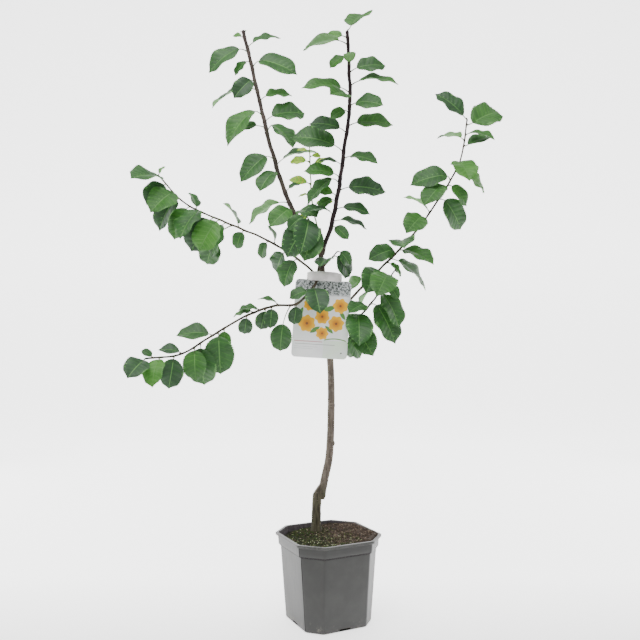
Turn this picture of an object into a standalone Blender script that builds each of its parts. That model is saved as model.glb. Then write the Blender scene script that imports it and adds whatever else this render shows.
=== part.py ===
"""Young plum tree, about 1.46 m tall, growing in an eight-sided nursery pot.

A short rootstock with a slanting graft cut carries the trunk. Two leaders, a centre shoot and
four side boughs spread from it, each in leaf towards its tip, and a card label hangs on a strap.
Units are metres, +Z is up, the front faces -Y, and the origin is the middle of the pot's underside.
"""
import math
import random

import bmesh
import bpy
from mathutils import Matrix, Vector
from mathutils.bvhtree import BVHTree

UP = Vector((0.0, 0.0, 1.0))
BACK = Vector((0.0, 1.0, 0.0))
GAP = 0.0003                   # clearance between pieces that touch
WELD = 0.00002
SHARP_ANGLE = math.radians(40)

# Pot: a square with its corners cut off, tapering to its foot
POT_TURN = math.radians(26.2)
POT_HEIGHT = 0.2035
RIM_ACROSS = 0.2205            # across two opposite long sides
RIM_CORNER = 0.042             # what each cut takes off a side
FOOT_ACROSS = 0.172
FOOT_CORNER = 0.031
FOOT_ROUND = 0.004
WALL = 0.0018
LIP_PROUD = 0.0050
LIP_THICK = 0.0065
LIP_ROUND = 0.0012
BAND_HEIGHT = 0.025            # thicker band under the lip
BAND_PROUD = 0.0044
DRAIN_LENGTH = 0.028
DRAIN_HEIGHT = 0.004
DRAIN_LEVEL = 0.0042           # middle of the slot above the underside
DRAIN_DEPTH = 0.012
CORNER_SPREAD = 2 - math.sqrt(2)   # growth of a corner's cut as the sides step outwards

# Root ball: compost that fills the pot, low at the left and heaped at the right
SOIL_LEVEL = 0.197             # where the trunk leaves it
SOIL_SLOPE = 0.085             # rise towards +X, per metre
SOIL_DIP = 0.0015              # how far the surface lies below the trunk's foot
SOIL_EDGE = 0.186              # level whose outline the edge of the surface keeps to
SOIL_BUMP = 0.0012
SOIL_FLAT = 0.020              # level ground round the trunk, and the width of its blend
SOIL_BLEND = 0.030
SOIL_RINGS = 6
SOIL_SIDE_STEPS = 4            # points along each side of the ring

# Trunk: rootstock up to the graft, then the scion
STOCK_KNOTS = ((-0.0285, 0.042, 0.190), (-0.0285, 0.042, 0.250), (-0.0240, 0.042, 0.318))
STOCK_SECTIONS = 9
STOCK_RADIUS = 0.0111
FLARE_RADIUS = 0.0139
FLARE_HEIGHT = 0.028
GRAFT_POINT = Vector((-0.0275, 0.042, 0.300))
GRAFT_SLOPE = math.radians(54)   # the slanting cut falls to the left
SCION_KNOTS = (
    (-0.0180, 0.042, 0.276), (-0.0080, 0.041, 0.326), (0.0022, 0.040, 0.375), (0.0066, 0.040, 0.450),
    (0.0070, 0.038, 0.576), (-0.0005, 0.036, 0.680), (-0.0085, 0.034, 0.770), (-0.0160, 0.032, 0.850),
    (-0.0230, 0.030, 0.932),
)
SCION_SECTIONS = 18
SCION_RADII = (0.0098, 0.0060)
SCION_TIP = 0.8                # narrowing of the last section
TRUNK_ROUND = 4                # curve resolution of the trunk, the boughs and the leafy stems
BOUGH_ROUND = 2
STEM_ROUND = 1
TRIM_BOX = 0.06                # side of the boxes that trim the rootstock
SWELLING_SIDES = 10
SWELLING_RINGS = 6
# Swellings on the trunk: middle and radius of the graft's callus and of the old buds
SWELLINGS = (
    ((-0.0125, 0.041, 0.284), 0.0072), ((0.0122, 0.038, 0.411), 0.0050), ((0.0128, 0.037, 0.503), 0.0046),
    ((0.0060, 0.034, 0.574), 0.0066), ((-0.0075, 0.033, 0.690), 0.0052), ((-0.0150, 0.034, 0.745), 0.0045),
)

# Shoots: their paths are read at even steps, and their limbs have a cross section every few steps
PATH_STEPS = 60
AXIS_REACH = 0.01              # share of a path over which its direction is taken
LIMB_STEP = 0.030
LIMB_COLLAR = 0.0012           # short straight end of each limb
TAPER = 0.8

# Leaves, by size letter and by poise: none, "-" hanging, "+" raised, "=" with its edges to the
# front and back, or "_" hanging on a long stalk
BLADE_LENGTH = {"T": 0.026, "S": 0.046, "M": 0.071, "L": 0.094, "X": 0.113}
DROOP = {"": 0.35, "-": 1.00, "+": -0.20, "=": 0.45, "_": 1.40}   # how far a blade sinks
LENGTH_SLACK = 0.07            # seeded spread of a blade's length
DROOP_SLACK = 0.20             # of its droop
HOUR_SLACK = 9.0               # of its place round the shoot, in degrees
ROLL_SLACK = 22.0              # of its roll, in degrees
SEED_STRIDE = 100              # between the seeds of two shoots
STALK_LEAN = math.radians(58)  # between a stalk and its shoot
LONG_STALK = 7.0               # how much longer the stalk of a "_" leaf is
STALK_RADIUS = 0.0011
LIGHT = Vector((0.0, -1.0, 0.85))   # what the blades turn their faces to
EDGE_ON = Vector((0.0, 1.0, 0.0))   # the way the edges of the "=" blades point
EDGE_SHOW = 0.20               # how far they turn back to the light
BLADE_STATIONS = (0.14, 0.34, 0.56, 0.76, 0.91)
BLADE_FORE = 0.60              # how full the outline is towards the stalk
BLADE_AFT = 0.72               # and towards the tip
BLADE_HALF_THICK = 0.0009
BLADE_FOLD = 0.20              # lift of the edges above the midrib, of the half width
BLADE_ARCH = 0.70              # radians that the midrib bends down in all
LEAF_CLEAR = 0.0008            # spare thickness when a leaf is tried for room
TURN_TRIES = (0, 20, -20, 40, -40, 60, -60)   # degrees round the shoot
FIRST_LEAF = 0.02              # places of the first and last leaf on a leafy stretch
LAST_LEAF = 0.995

# Each shoot: knots from its foot to its tip, radii at foot and tip, the bare share of its length
# and whether that is a bough of its own, the dial's noon, the breadth of the blades and length of
# their stalks as shares of the blade's length, and its leaves, one word for each even step up the
# shoot. A word is the leaf's hour on a dial seen from the shoot's tip, its size and its poise; a
# dot is a bare step.
SHOOTS = {
    "left_leader": dict(
        knots=((-0.021, 0.032, 0.896), (-0.073, 0.046, 0.954), (-0.115, 0.066, 1.050),
               (-0.153, 0.088, 1.182), (-0.178, 0.108, 1.291), (-0.215, 0.130, 1.445)),
        radii=(0.0060, 0.0043), bare=0.12, bough=True, noon=BACK, breadth=0.66, stalk=0.22, seed=11,
        plan="4M- 6M- . 9L= . 3S . . 7M- . 3L= 8L- . . . . 4L- 9L 3L 8X- . . 3M . 9X 8M- . . 4X- 8S- . "
             "8L- 3M . 9T+ 12T+"),
    "right_leader": dict(
        knots=((-0.016, 0.032, 0.870), (0.014, 0.010, 0.960), (0.035, -0.028, 1.090),
               (0.049, -0.066, 1.225), (0.041, -0.098, 1.363)),
        radii=(0.0056, 0.0036), bare=0.11, bough=True, noon=BACK, breadth=0.60, stalk=0.22, seed=12,
        plan="4S- 3M 8M 3M 9S- 9S 3L 9L- 9M . 9S= 4M 9X . . 9M 3L . 8S- 4M 7M 9L 3L . 3M 6S+ 7S- . 9L= "
             "10S 1L+"),
    "centre_shoot": dict(
        knots=((-0.023, 0.030, 0.922), (-0.038, 0.034, 0.990), (-0.044, 0.043, 1.090),
               (-0.046, 0.050, 1.176)),
        radii=(0.0020, 0.0012), bare=0.12, bough=False, noon=BACK, breadth=0.50, stalk=0.22, seed=13,
        plan=". 9S- 3S . 9T 3T 8S . . 3S+ 9S 3T 9T . 9T+ 3T+ 12T+"),
    "upper_left_bough": dict(
        knots=((-0.009, 0.036, 0.770), (-0.039, 0.066, 0.830), (-0.079, 0.073, 0.863),
               (-0.144, 0.085, 0.905), (-0.268, 0.115, 0.961), (-0.364, 0.135, 1.008),
               (-0.436, 0.150, 1.083)),
        radii=(0.0032, 0.0019), bare=0.20, bough=True, noon=UP, breadth=0.80, stalk=0.12, seed=14,
        plan="5M- . 7M- . 12S= 6S- . . . 6S- 12M= 6M_ 6L- 5L- 4L- . 3L- 12S= 4L- . 4L- 3L- . 3M- 3L "
             "12T="),
    "lower_left_bough": dict(
        knots=((-0.018, 0.033, 0.862), (-0.023, 0.006, 0.832), (-0.030, -0.002, 0.797),
               (-0.074, -0.035, 0.748), (-0.123, -0.060, 0.743), (-0.189, -0.090, 0.718),
               (-0.259, -0.125, 0.675), (-0.326, -0.150, 0.635), (-0.398, -0.175, 0.627)),
        radii=(0.0034, 0.0019), bare=0.15, bough=True, noon=UP, breadth=0.74, stalk=0.10, seed=15,
        plan="3M 11S . . 6S- 6M_ . 12S= 5S- 6S 12S= 12S= 7S- . . . 6S- 5L- 12M . 6L- 5M- . 12S 5M- . "
             "4M 12T 4M+"),
    "right_bough": dict(
        knots=((-0.001, 0.037, 0.705), (0.054, 0.047, 0.761), (0.120, 0.057, 0.827),
               (0.180, 0.067, 0.887), (0.228, 0.075, 0.942), (0.298, 0.085, 1.046),
               (0.331, 0.092, 1.111), (0.350, 0.100, 1.214)),
        radii=(0.0034, 0.0018), bare=0.18, bough=True, noon=UP, breadth=0.64, stalk=0.15, seed=16,
        plan="12L- . . 11L- . . 6S 6X 12M- 8L 11L- . . . . . 11L- . 12M= . . 6L- . 11L- 6M- 12L- . 6L "
             "10L- . . . 7M+ 12M= 6M= . 6X+ 12L+"),
    "low_right_bough": dict(
        knots=((0.001, 0.037, 0.637), (0.046, 0.035, 0.686), (0.101, 0.028, 0.747), (0.137, 0.020, 0.797),
               (0.163, 0.014, 0.832)),
        radii=(0.0030, 0.0017), bare=0.22, bough=True, noon=UP, breadth=0.64, stalk=0.15, seed=20,
        plan=". 8L- . 10L- . 11M- 7X- . 7L- 12L- 7S- 10L- . ."),
    "fork_spur": dict(
        knots=((-0.021, 0.030, 0.908), (-0.034, 0.012, 0.935), (-0.053, -0.006, 0.957)),
        radii=(0.0022, 0.0015), bare=0.42, bough=False, noon=UP, breadth=0.68, stalk=0.15, seed=17,
        plan="5L- 7L- 5L- 9S"),
    "collar_spur": dict(
        knots=((-0.015, 0.033, 0.836), (0.004, 0.018, 0.854), (0.021, 0.010, 0.873)),
        radii=(0.0022, 0.0015), bare=0.42, bough=False, noon=UP, breadth=0.66, stalk=0.15, seed=18,
        plan="10M= . 5M- . 4S-"),
    "label_spur": dict(
        knots=((0.002, 0.037, 0.652), (0.019, 0.024, 0.662), (0.033, 0.018, 0.672)),
        radii=(0.0018, 0.0014), bare=0.50, bough=False, noon=UP, breadth=0.60, stalk=0.22, seed=19,
        plan="3M- 6M-"),
}

# Label: a thin plastic card, hung on a strap that loops round the trunk
CARD_WIDTH = 0.134
CARD_HEIGHT = 0.187
CARD_THICK = 0.0012
CARD_ROUND = 0.010
CARD_ROUND_STEPS = 4
CARD_MIDDLE = Vector((-0.0165, 0.0130, 0.7120))
CARD_TILT = math.radians(3.6)
STRAP_MIDDLE = 0.0012          # beside the card's middle
STRAP_HALF_WIDTH = 0.0420
STRAP_HALF_DEPTH = 0.0284
STRAP_THICK = 0.0010
STRAP_HEIGHT = 0.0190          # above the card's top edge
STRAP_OVERLAP = 0.0032         # how far its front hangs over the card
STRAP_FRONT = -0.3             # the front part of the oval, as a sine
STRAP_STEPS = 32


def material(name, colour, roughness, metallic=0.0):
    """A plain Principled material."""
    finish = bpy.data.materials.new(name)
    finish.use_nodes = True
    shader = finish.node_tree.nodes["Principled BSDF"]
    shader.inputs["Base Color"].default_value = (*colour, 1.0)
    shader.inputs["Roughness"].default_value = roughness
    shader.inputs["Metallic"].default_value = metallic
    finish.diffuse_color = (*colour, 1.0)
    return finish


def mesh_object(name, verts, faces):
    """An object from points and faces, with every face turned outwards."""
    mesh = bpy.data.meshes.new(name)
    mesh.from_pydata([tuple(vert) for vert in verts], [], faces)
    form = bmesh.new()
    form.from_mesh(mesh)
    bmesh.ops.recalc_face_normals(form, faces=form.faces)
    form.to_mesh(mesh)
    form.free()
    piece = bpy.data.objects.new(name, mesh)
    bpy.context.scene.collection.objects.link(piece)
    return piece


def loft(rings, tip=None):
    """Points and faces of a closed solid through rings of as many points, or up to a tip point."""
    count = len(rings[0])
    verts = [point for ring in rings for point in ring]
    faces = [tuple(range(count))]
    for row in range(len(rings) - 1):
        for a in range(count):
            b = (a + 1) % count
            low, high = row * count, (row + 1) * count
            faces.append((low + a, low + b, high + b, high + a))
    last = (len(rings) - 1) * count
    if tip is None:
        faces.append(tuple(range(last, last + count)))
    else:
        verts.append(tip)
        faces += [(last + a, last + (a + 1) % count, len(verts) - 1) for a in range(count)]
    return verts, faces


def remove(piece):
    bpy.data.objects.remove(piece, do_unlink=True)


def move_to(piece, collection):
    for owner in list(piece.users_collection):
        owner.objects.unlink(piece)
    collection.objects.link(piece)


def apply_modifiers(piece):
    """Fix a piece's modifiers in its mesh."""
    ready = piece.evaluated_get(bpy.context.evaluated_depsgraph_get())
    piece.data = bpy.data.meshes.new_from_object(ready)
    piece.modifiers.clear()


def join_all(piece, others):
    """Fuse the others into the piece with one Boolean union, and remove them."""
    group = bpy.data.collections.new(piece.name + "_parts")
    bpy.context.scene.collection.children.link(group)
    for other in others:
        move_to(other, group)
    union = piece.modifiers.new("union", "BOOLEAN")
    union.operation = "UNION"
    union.operand_type = "COLLECTION"
    union.collection = group
    apply_modifiers(piece)
    for other in others:
        remove(other)
    bpy.data.collections.remove(group)


def cut(piece, cutter):
    """Take the cutter's shape out of the piece."""
    trim = piece.modifiers.new("cut", "BOOLEAN")
    trim.operation = "DIFFERENCE"
    trim.object = cutter
    apply_modifiers(piece)


def cut_box(piece, size, frame):
    """Take a box out of the piece; the frame places the box's middle."""
    bpy.ops.mesh.primitive_cube_add(size=1.0)
    box = bpy.context.object
    box.data.transform(Matrix.Diagonal((*size, 1.0)))
    box.matrix_world = frame
    cut(piece, box)
    remove(box)


def smooth_path(knots, count):
    """Evenly spaced points on the smooth curve through the knots."""
    knots = [Vector(knot) for knot in knots]
    spans = [(after - before).length for before, after in zip(knots, knots[1:])]
    slopes = []
    for index in range(len(knots)):
        a, b = max(index - 1, 0), min(index + 1, len(spans))
        slopes.append((knots[b] - knots[a]) / sum(spans[a:b]))
    fine = []
    for index, span in enumerate(spans):
        for step in range(PATH_STEPS):
            t = step / PATH_STEPS
            fine.append(knots[index] * (2 * t ** 3 - 3 * t ** 2 + 1)
                        + knots[index + 1] * (3 * t ** 2 - 2 * t ** 3)
                        + slopes[index] * (span * (t ** 3 - 2 * t ** 2 + t))
                        + slopes[index + 1] * (span * (t ** 3 - t ** 2)))
    fine.append(knots[-1])
    reach = [0.0]
    for before, after in zip(fine, fine[1:]):
        reach.append(reach[-1] + (after - before).length)
    points, spot = [], 0
    for index in range(count):
        goal = reach[-1] * index / (count - 1)
        while spot < len(fine) - 2 and reach[spot + 1] < goal:
            spot += 1
        share = (goal - reach[spot]) / (reach[spot + 1] - reach[spot])
        points.append(fine[spot].lerp(fine[spot + 1], min(share, 1.0)))
    return points


def path_length(path):
    return sum((after - before).length for before, after in zip(path, path[1:]))


def spot_at(path, at):
    """Point at a share of an evenly spaced path."""
    place = min(max(at, 0.0), 1.0) * (len(path) - 1)
    index = min(int(place), len(path) - 2)
    return path[index].lerp(path[index + 1], place - index)


def along(path, at):
    """Point and direction at a share of an evenly spaced path."""
    ahead, behind = spot_at(path, at + AXIS_REACH), spot_at(path, at - AXIS_REACH)
    return spot_at(path, at), (ahead - behind).normalized()


def rod(name, points, radii, resolution):
    """A round rod that tapers along the points, as one closed mesh."""
    curve = bpy.data.curves.new(name, "CURVE")
    curve.dimensions = "3D"
    curve.bevel_depth = 1.0
    curve.bevel_resolution = resolution
    curve.use_fill_caps = True
    spline = curve.splines.new("POLY")
    spline.points.add(len(points) - 1)
    for spot, point, radius in zip(spline.points, points, radii):
        spot.co = (*point, 1.0)
        spot.radius = radius
    guide = bpy.data.objects.new(name, curve)
    bpy.context.scene.collection.objects.link(guide)
    ready = guide.evaluated_get(bpy.context.evaluated_depsgraph_get())
    mesh = bpy.data.meshes.new_from_object(ready)
    remove(guide)
    form = bmesh.new()
    form.from_mesh(mesh)
    bmesh.ops.remove_doubles(form, verts=form.verts, dist=WELD)
    bmesh.ops.recalc_face_normals(form, faces=form.faces)
    form.to_mesh(mesh)
    form.free()
    piece = bpy.data.objects.new(name, mesh)
    bpy.context.scene.collection.objects.link(piece)
    return piece


def build_trunk(name, spare=0.0):
    """Rootstock with its flare and slanting cut, scion and swellings; spare fattens them all."""
    stock_path = smooth_path(STOCK_KNOTS, STOCK_SECTIONS)
    stock_radii = []
    for point in stock_path:
        flare = min(1.0, max(0.0, (SOIL_LEVEL + FLARE_HEIGHT - point.z) / FLARE_HEIGHT)) ** 2
        stock_radii.append(STOCK_RADIUS + (FLARE_RADIUS - STOCK_RADIUS) * flare + spare)
    stock = rod(name, stock_path, stock_radii, TRUNK_ROUND)
    box = (TRIM_BOX, TRIM_BOX, TRIM_BOX)
    tilt = Matrix.Rotation(-GRAFT_SLOPE, 4, "Y")
    cut_box(stock, box, Matrix.Translation(GRAFT_POINT) @ tilt
            @ Matrix.Translation((0.0, 0.0, TRIM_BOX / 2 + spare)))
    foot = Vector((*STOCK_KNOTS[0][:2], SOIL_LEVEL + GAP - TRIM_BOX / 2 - spare))
    cut_box(stock, box, Matrix.Translation(foot))

    scion_path = smooth_path(SCION_KNOTS, SCION_SECTIONS)
    scion_path[-1] += along(scion_path, 1.0)[1] * spare
    low, high = SCION_RADII
    step = (high - low) / (SCION_SECTIONS - 1)
    scion_radii = [low + step * index + spare for index in range(SCION_SECTIONS)]
    scion_radii[-1] *= SCION_TIP
    pieces = [rod(name + "_scion", scion_path, scion_radii, TRUNK_ROUND)]
    for middle, radius in SWELLINGS:
        bpy.ops.mesh.primitive_uv_sphere_add(segments=SWELLING_SIDES, ring_count=SWELLING_RINGS,
                                             radius=radius + spare, location=middle)
        pieces.append(bpy.context.object)
    join_all(stock, pieces)
    return stock


def limb(name, shoot, start, end, resolution):
    """The stretch of a shoot between two shares of its length, square to the shoot at both ends."""
    path = shoot["path"]
    count = max(2, round(path_length(path) * (end - start) / LIMB_STEP))
    shares = [start + (end - start) * index / count for index in range(count + 1)]
    points = [spot_at(path, share) for share in shares]
    points[1:1] = [points[0] + along(path, start)[1] * LIMB_COLLAR]
    points[-1:-1] = [points[-1] - along(path, end)[1] * LIMB_COLLAR]
    radii = [shoot_radius(shoot, share) for share in [start] + shares + [end]]
    return rod(name, points, radii, resolution)


def shoot_radius(shoot, share):
    foot, tip = shoot["radii"]
    return foot + (tip - foot) * share ** TAPER


def read_plan(plan):
    """Step, place on the leafy stretch, hour, size and poise of each leaf, from the foot to the tip."""
    words = plan.split()
    for step, word in enumerate(words):
        if word != ".":
            share = FIRST_LEAF + (LAST_LEAF - FIRST_LEAF) * step / (len(words) - 1)
            body = word.rstrip("+-=_")
            yield step, share, int(body[:-1]), body[-1], word[len(body):]


def place_leaf(shoot, at, hour, size, poise, draws):
    """Where a leaf's stalk and blade run: its foot, the blade's root, way and face, and its length."""
    foot, axis = along(shoot["path"], at)
    noon = (shoot["noon"] - axis * shoot["noon"].dot(axis)).normalized()
    angle = math.radians(30 * hour + HOUR_SLACK * draws[0])
    outward = noon * math.cos(angle) + noon.cross(axis) * math.sin(angle)
    stalk = (axis * math.cos(STALK_LEAN) + outward * math.sin(STALK_LEAN)).normalized()
    length = BLADE_LENGTH[size] * (1 + LENGTH_SLACK * draws[1])
    way = (stalk - UP * DROOP[poise] * (1 + DROOP_SLACK * draws[2])).normalized()
    light = LIGHT
    if poise == "=":
        light = way.cross(EDGE_ON) * math.copysign(1.0, way.x) + LIGHT * EDGE_SHOW
    face = (light - way * light.dot(way)).normalized()
    face.rotate(Matrix.Rotation(math.radians(ROLL_SLACK * draws[3]), 3, way))
    reach = shoot["stalk"] * length * (LONG_STALK if poise == "_" else 1.0)
    root = foot + stalk * (shoot_radius(shoot, at) + reach)
    return dict(foot=foot, root=root, way=way, face=face, length=length, breadth=shoot["breadth"])


def blade_width(share):
    """Half width of a blade at a share of its length, as a share of its greatest half width."""
    widest = BLADE_FORE / (BLADE_FORE + BLADE_AFT)
    return (share / widest) ** BLADE_FORE * ((1 - share) / (1 - widest)) ** BLADE_AFT


def midrib(leaf, share):
    """Point and upper side of the midrib, which arches evenly downwards."""
    bend = BLADE_ARCH * share
    run = leaf["length"] / BLADE_ARCH
    point = leaf["root"] + leaf["way"] * (run * math.sin(bend)) - leaf["face"] * (run * (1 - math.cos(bend)))
    return point, leaf["face"] * math.cos(bend) + leaf["way"] * math.sin(bend)


def leaf_rings(leaf, spare=0.0):
    """Four-point rings down the stalk and blade, and the blade's tip point."""
    side = leaf["way"].cross(leaf["face"])
    stalk = (leaf["root"] - leaf["foot"]).normalized()
    rings = []
    for middle, axis in ((leaf["foot"], stalk), (leaf["root"], (stalk + leaf["way"]).normalized())):
        face = side.cross(axis).normalized() * (STALK_RADIUS + spare)
        across = axis.cross(face)
        rings.append([middle + across, middle + face, middle - across, middle - face])
    for share in BLADE_STATIONS:
        middle, face = midrib(leaf, share)
        half = leaf["length"] * leaf["breadth"] / 2 * blade_width(share)
        lift = face * (half * BLADE_FOLD)
        thick = BLADE_HALF_THICK + spare
        rings.append([middle + side * half + lift, middle + face * thick,
                      middle - side * half + lift, middle - face * thick])
    return rings, midrib(leaf, 1.0)[0]


def tree_of(verts, faces):
    return BVHTree.FromPolygons([tuple(vert) for vert in verts], faces)


def tree_of_piece(piece):
    mesh = piece.data
    return tree_of([vert.co for vert in mesh.vertices], [tuple(face.vertices) for face in mesh.polygons])


def grow_leaves(name, room):
    """Leaves in order up a shoot, turned round it or left out where they would touch a thing.

    Room lists each thing's owner and tree. A stalk may run into its own shoot's stem.
    """
    shoot = SHOOTS[name]
    leaves = []
    for step, share, hour, size, poise in read_plan(shoot["plan"]):
        draw = random.Random(shoot["seed"] * SEED_STRIDE + step)
        at = shoot["bare"] + (1 - shoot["bare"]) * share
        draws = [draw.uniform(-1, 1) for _ in range(4)]
        for turn in TURN_TRIES:
            leaf = place_leaf(shoot, at, hour + turn / 30, size, poise, draws)
            rings, tip = leaf_rings(leaf, LEAF_CLEAR)
            whole = tree_of(*loft(rings, tip))
            blade = tree_of(*loft(rings[2:], tip))
            if not any((blade if owner == name else whole).overlap(tree) for owner, tree in room):
                room.append((None, whole))
                leaves.append(mesh_object("leaf", *loft(*leaf_rings(leaf))))
                break
    return leaves


def octagon(across, corner, height, turn=POT_TURN):
    """Corner points of a square ring with cut corners, turned about the pot's axis."""
    half = across / 2
    flat = half - corner
    square = ((half, -flat), (half, flat), (flat, half), (-flat, half),
              (-half, flat), (-half, -flat), (-flat, -half), (flat, -half))
    spin = Matrix.Rotation(turn, 3, "Z")
    return [spin @ Vector((x, y, height)) for x, y in square]


def pot_across(height):
    """Width and corner cut of the pot's plain tapering side at a height."""
    share = height / POT_HEIGHT
    rim = RIM_ACROSS - 2 * (LIP_PROUD + BAND_PROUD)
    return FOOT_ACROSS + (rim - FOOT_ACROSS) * share, FOOT_CORNER + (RIM_CORNER - FOOT_CORNER) * share


def build_pot():
    """Thin-walled pot: rounded foot, tapering side, band, lip and open inside."""
    band_foot = POT_HEIGHT - LIP_THICK - BAND_HEIGHT
    lip_foot = POT_HEIGHT - LIP_THICK
    lip = BAND_PROUD + LIP_PROUD
    profile = (       # height, and how far outside the plain side
        (0.0, -FOOT_ROUND), (FOOT_ROUND * 0.3, -FOOT_ROUND * 0.3), (FOOT_ROUND, 0.0), (band_foot, 0.0),
        (band_foot + BAND_PROUD, BAND_PROUD), (lip_foot, BAND_PROUD), (lip_foot + LIP_ROUND, lip),
        (POT_HEIGHT - LIP_ROUND, lip), (POT_HEIGHT, lip - LIP_ROUND), (POT_HEIGHT, BAND_PROUD - WALL),
        (band_foot + BAND_PROUD, BAND_PROUD - WALL), (band_foot, -WALL),
        (FOOT_ROUND, -WALL), (WALL, -WALL - FOOT_ROUND * 0.4),
    )
    rings = []
    for height, proud in profile:
        across, corner = pot_across(height)
        rings.append(octagon(across + 2 * proud, corner + CORNER_SPREAD * proud, height))
    pot = mesh_object("pot", *loft(rings))
    for quarter in range(4):
        turn = Matrix.Rotation(POT_TURN + quarter * math.pi / 2, 4, "Z")
        cut_box(pot, (DRAIN_DEPTH, DRAIN_LENGTH, DRAIN_HEIGHT),
                turn @ Matrix.Translation((FOOT_ACROSS / 2, 0.0, DRAIN_LEVEL)))
    return pot


def soil_height(x, y):
    """Height of the compost's surface, level round the trunk's foot."""
    middle = Vector(STOCK_KNOTS[0][:2])
    away = (Vector((x, y)) - middle).length
    loose = min(1.0, max(0.0, (away - SOIL_FLAT) / SOIL_BLEND))
    bumps = SOIL_BUMP * (math.sin(x * 190 + 1.3) * math.cos(y * 160) + 0.6 * math.sin(x * 90 - y * 210))
    return SOIL_LEVEL + loose * (SOIL_SLOPE * (x - middle.x / 2) - SOIL_DIP + bumps)


def soil_ring(height, inset):
    """Points round the inside of the pot at a height."""
    across, corner = pot_across(height)
    corners = octagon(across - 2 * inset, corner - CORNER_SPREAD * inset, height)
    ring = []
    for a, b in zip(corners, corners[1:] + corners[:1]):
        ring += [a.lerp(b, step / SOIL_SIDE_STEPS) for step in range(SOIL_SIDE_STEPS)]
    return ring


def build_root_ball():
    """Compost up to the pot's wall, with a slope and small heaps on top."""
    inset = WALL + GAP
    band_foot = POT_HEIGHT - LIP_THICK - BAND_HEIGHT
    rings = [soil_ring(inset, inset + FOOT_ROUND), soil_ring(inset + FOOT_ROUND, inset),
             soil_ring(band_foot + GAP, inset), soil_ring(band_foot + GAP + BAND_PROUD, inset - BAND_PROUD)]
    edge = soil_ring(SOIL_EDGE, inset - BAND_PROUD)
    foot = Vector((*STOCK_KNOTS[0][:2], SOIL_LEVEL))
    for step in range(SOIL_RINGS):
        ring = []
        for point in edge:
            x, y = point.to_2d().lerp(foot.to_2d(), step / SOIL_RINGS)
            ring.append(Vector((x, y, soil_height(x, y))))
        rings.append(ring)
    return mesh_object("root_ball", *loft(rings, foot))


def card_frame():
    """Where the hanging card's middle lies, and its tilt."""
    return Matrix.Translation(CARD_MIDDLE) @ Matrix.Rotation(CARD_TILT, 4, "Y")


def build_card():
    """Thin upright card with round corners."""
    outline = []
    for index, (sx, sz) in enumerate(((1, 1), (-1, 1), (-1, -1), (1, -1))):
        middle = Vector((sx * (CARD_WIDTH / 2 - CARD_ROUND), sz * (CARD_HEIGHT / 2 - CARD_ROUND)))
        for step in range(CARD_ROUND_STEPS + 1):
            angle = math.pi / 2 * (index + step / CARD_ROUND_STEPS)
            outline.append(middle + CARD_ROUND * Vector((math.cos(angle), math.sin(angle))))
    rings = []
    for y in (-CARD_THICK / 2, CARD_THICK / 2):
        rings.append([card_frame() @ Vector((point.x, y, point.y)) for point in outline])
    return mesh_object("label_card", *loft(rings))


def build_strap():
    """Oval band round the trunk: it rests on the card's top edge and its front hangs over it."""
    foot = CARD_HEIGHT / 2 + GAP
    rings = []
    for inner, top in ((0, False), (0, True), (1, True), (1, False)):
        ring = []
        for step in range(STRAP_STEPS):
            angle = 2 * math.pi * step / STRAP_STEPS
            x = (STRAP_HALF_WIDTH - inner * STRAP_THICK) * math.cos(angle)
            y = (STRAP_HALF_DEPTH - inner * STRAP_THICK) * math.sin(angle)
            low = foot if math.sin(angle) > STRAP_FRONT else foot - STRAP_OVERLAP
            ring.append(Vector((STRAP_MIDDLE + x, y, foot + STRAP_HEIGHT if top else low)))
        rings.append(ring)
    verts = [card_frame() @ point for ring in rings for point in ring]
    faces = []
    for row in range(4):
        low, high = row * STRAP_STEPS, (row + 1) % 4 * STRAP_STEPS
        for a in range(STRAP_STEPS):
            b = (a + 1) % STRAP_STEPS
            faces.append((low + a, low + b, high + b, high + a))
    return mesh_object("label_strap", verts, faces)


def finish(piece, collection, look, smooth=True):
    """Give a piece its material and shading, and move it to the plant's collection."""
    piece.data.materials.clear()
    piece.data.materials.append(look)
    if smooth:
        piece.data.shade_smooth()
        piece.data.set_sharp_from_angle(angle=SHARP_ANGLE)
    move_to(piece, collection)


for old in list(bpy.data.objects):
    bpy.data.objects.remove(old, do_unlink=True)

plant = bpy.data.collections.new("potted_plum_tree")
bpy.context.scene.collection.children.link(plant)

bark = material("trunk_bark", (0.16, 0.12, 0.09), 0.85)
leader_bark = material("leader_bark", (0.07, 0.045, 0.045), 0.6)
bough_bark = material("bough_bark", (0.13, 0.12, 0.07), 0.7)
leaf_green = material("leaf_green", (0.06, 0.20, 0.06), 0.5)
young_green = material("young_leaf_green", (0.25, 0.42, 0.08), 0.5)
pot_grey = material("pot_grey_plastic", (0.13, 0.13, 0.125), 0.45)
compost = material("compost", (0.06, 0.04, 0.03), 0.95)
card_print = material("label_card_print", (0.75, 0.74, 0.70), 0.4)
strap_plastic = material("label_strap_plastic", (0.62, 0.62, 0.62), 0.4)

pot = build_pot()
finish(pot, plant, pot_grey, smooth=False)
root_ball = build_root_ball()
finish(root_ball, plant, compost)
trunk = build_trunk("trunk")
finish(trunk, plant, bark)
card = build_card()
finish(card, plant, card_print, smooth=False)
strap = build_strap()
finish(strap, plant, strap_plastic)

cutter = build_trunk("trunk_cutter", GAP)
solids = [trunk, card, strap, pot]
stems = {}
for name, shoot in SHOOTS.items():
    shoot["path"] = smooth_path(shoot["knots"], PATH_STEPS + 1)
    if shoot["bough"]:
        bough = limb(name, shoot, 0.0, shoot["bare"], BOUGH_ROUND)
        cut(bough, cutter)
        finish(bough, plant, leader_bark if shoot["noon"] is BACK else bough_bark)
        solids.append(bough)
        leafy = shoot["bare"] + GAP / path_length(shoot["path"])
        stems[name] = limb(name + "_leaves", shoot, leafy, 1.0, STEM_ROUND)
    else:
        stems[name] = limb(name + "_leaves", shoot, 0.0, 1.0, STEM_ROUND)
        cut(stems[name], cutter)
remove(cutter)

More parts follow.
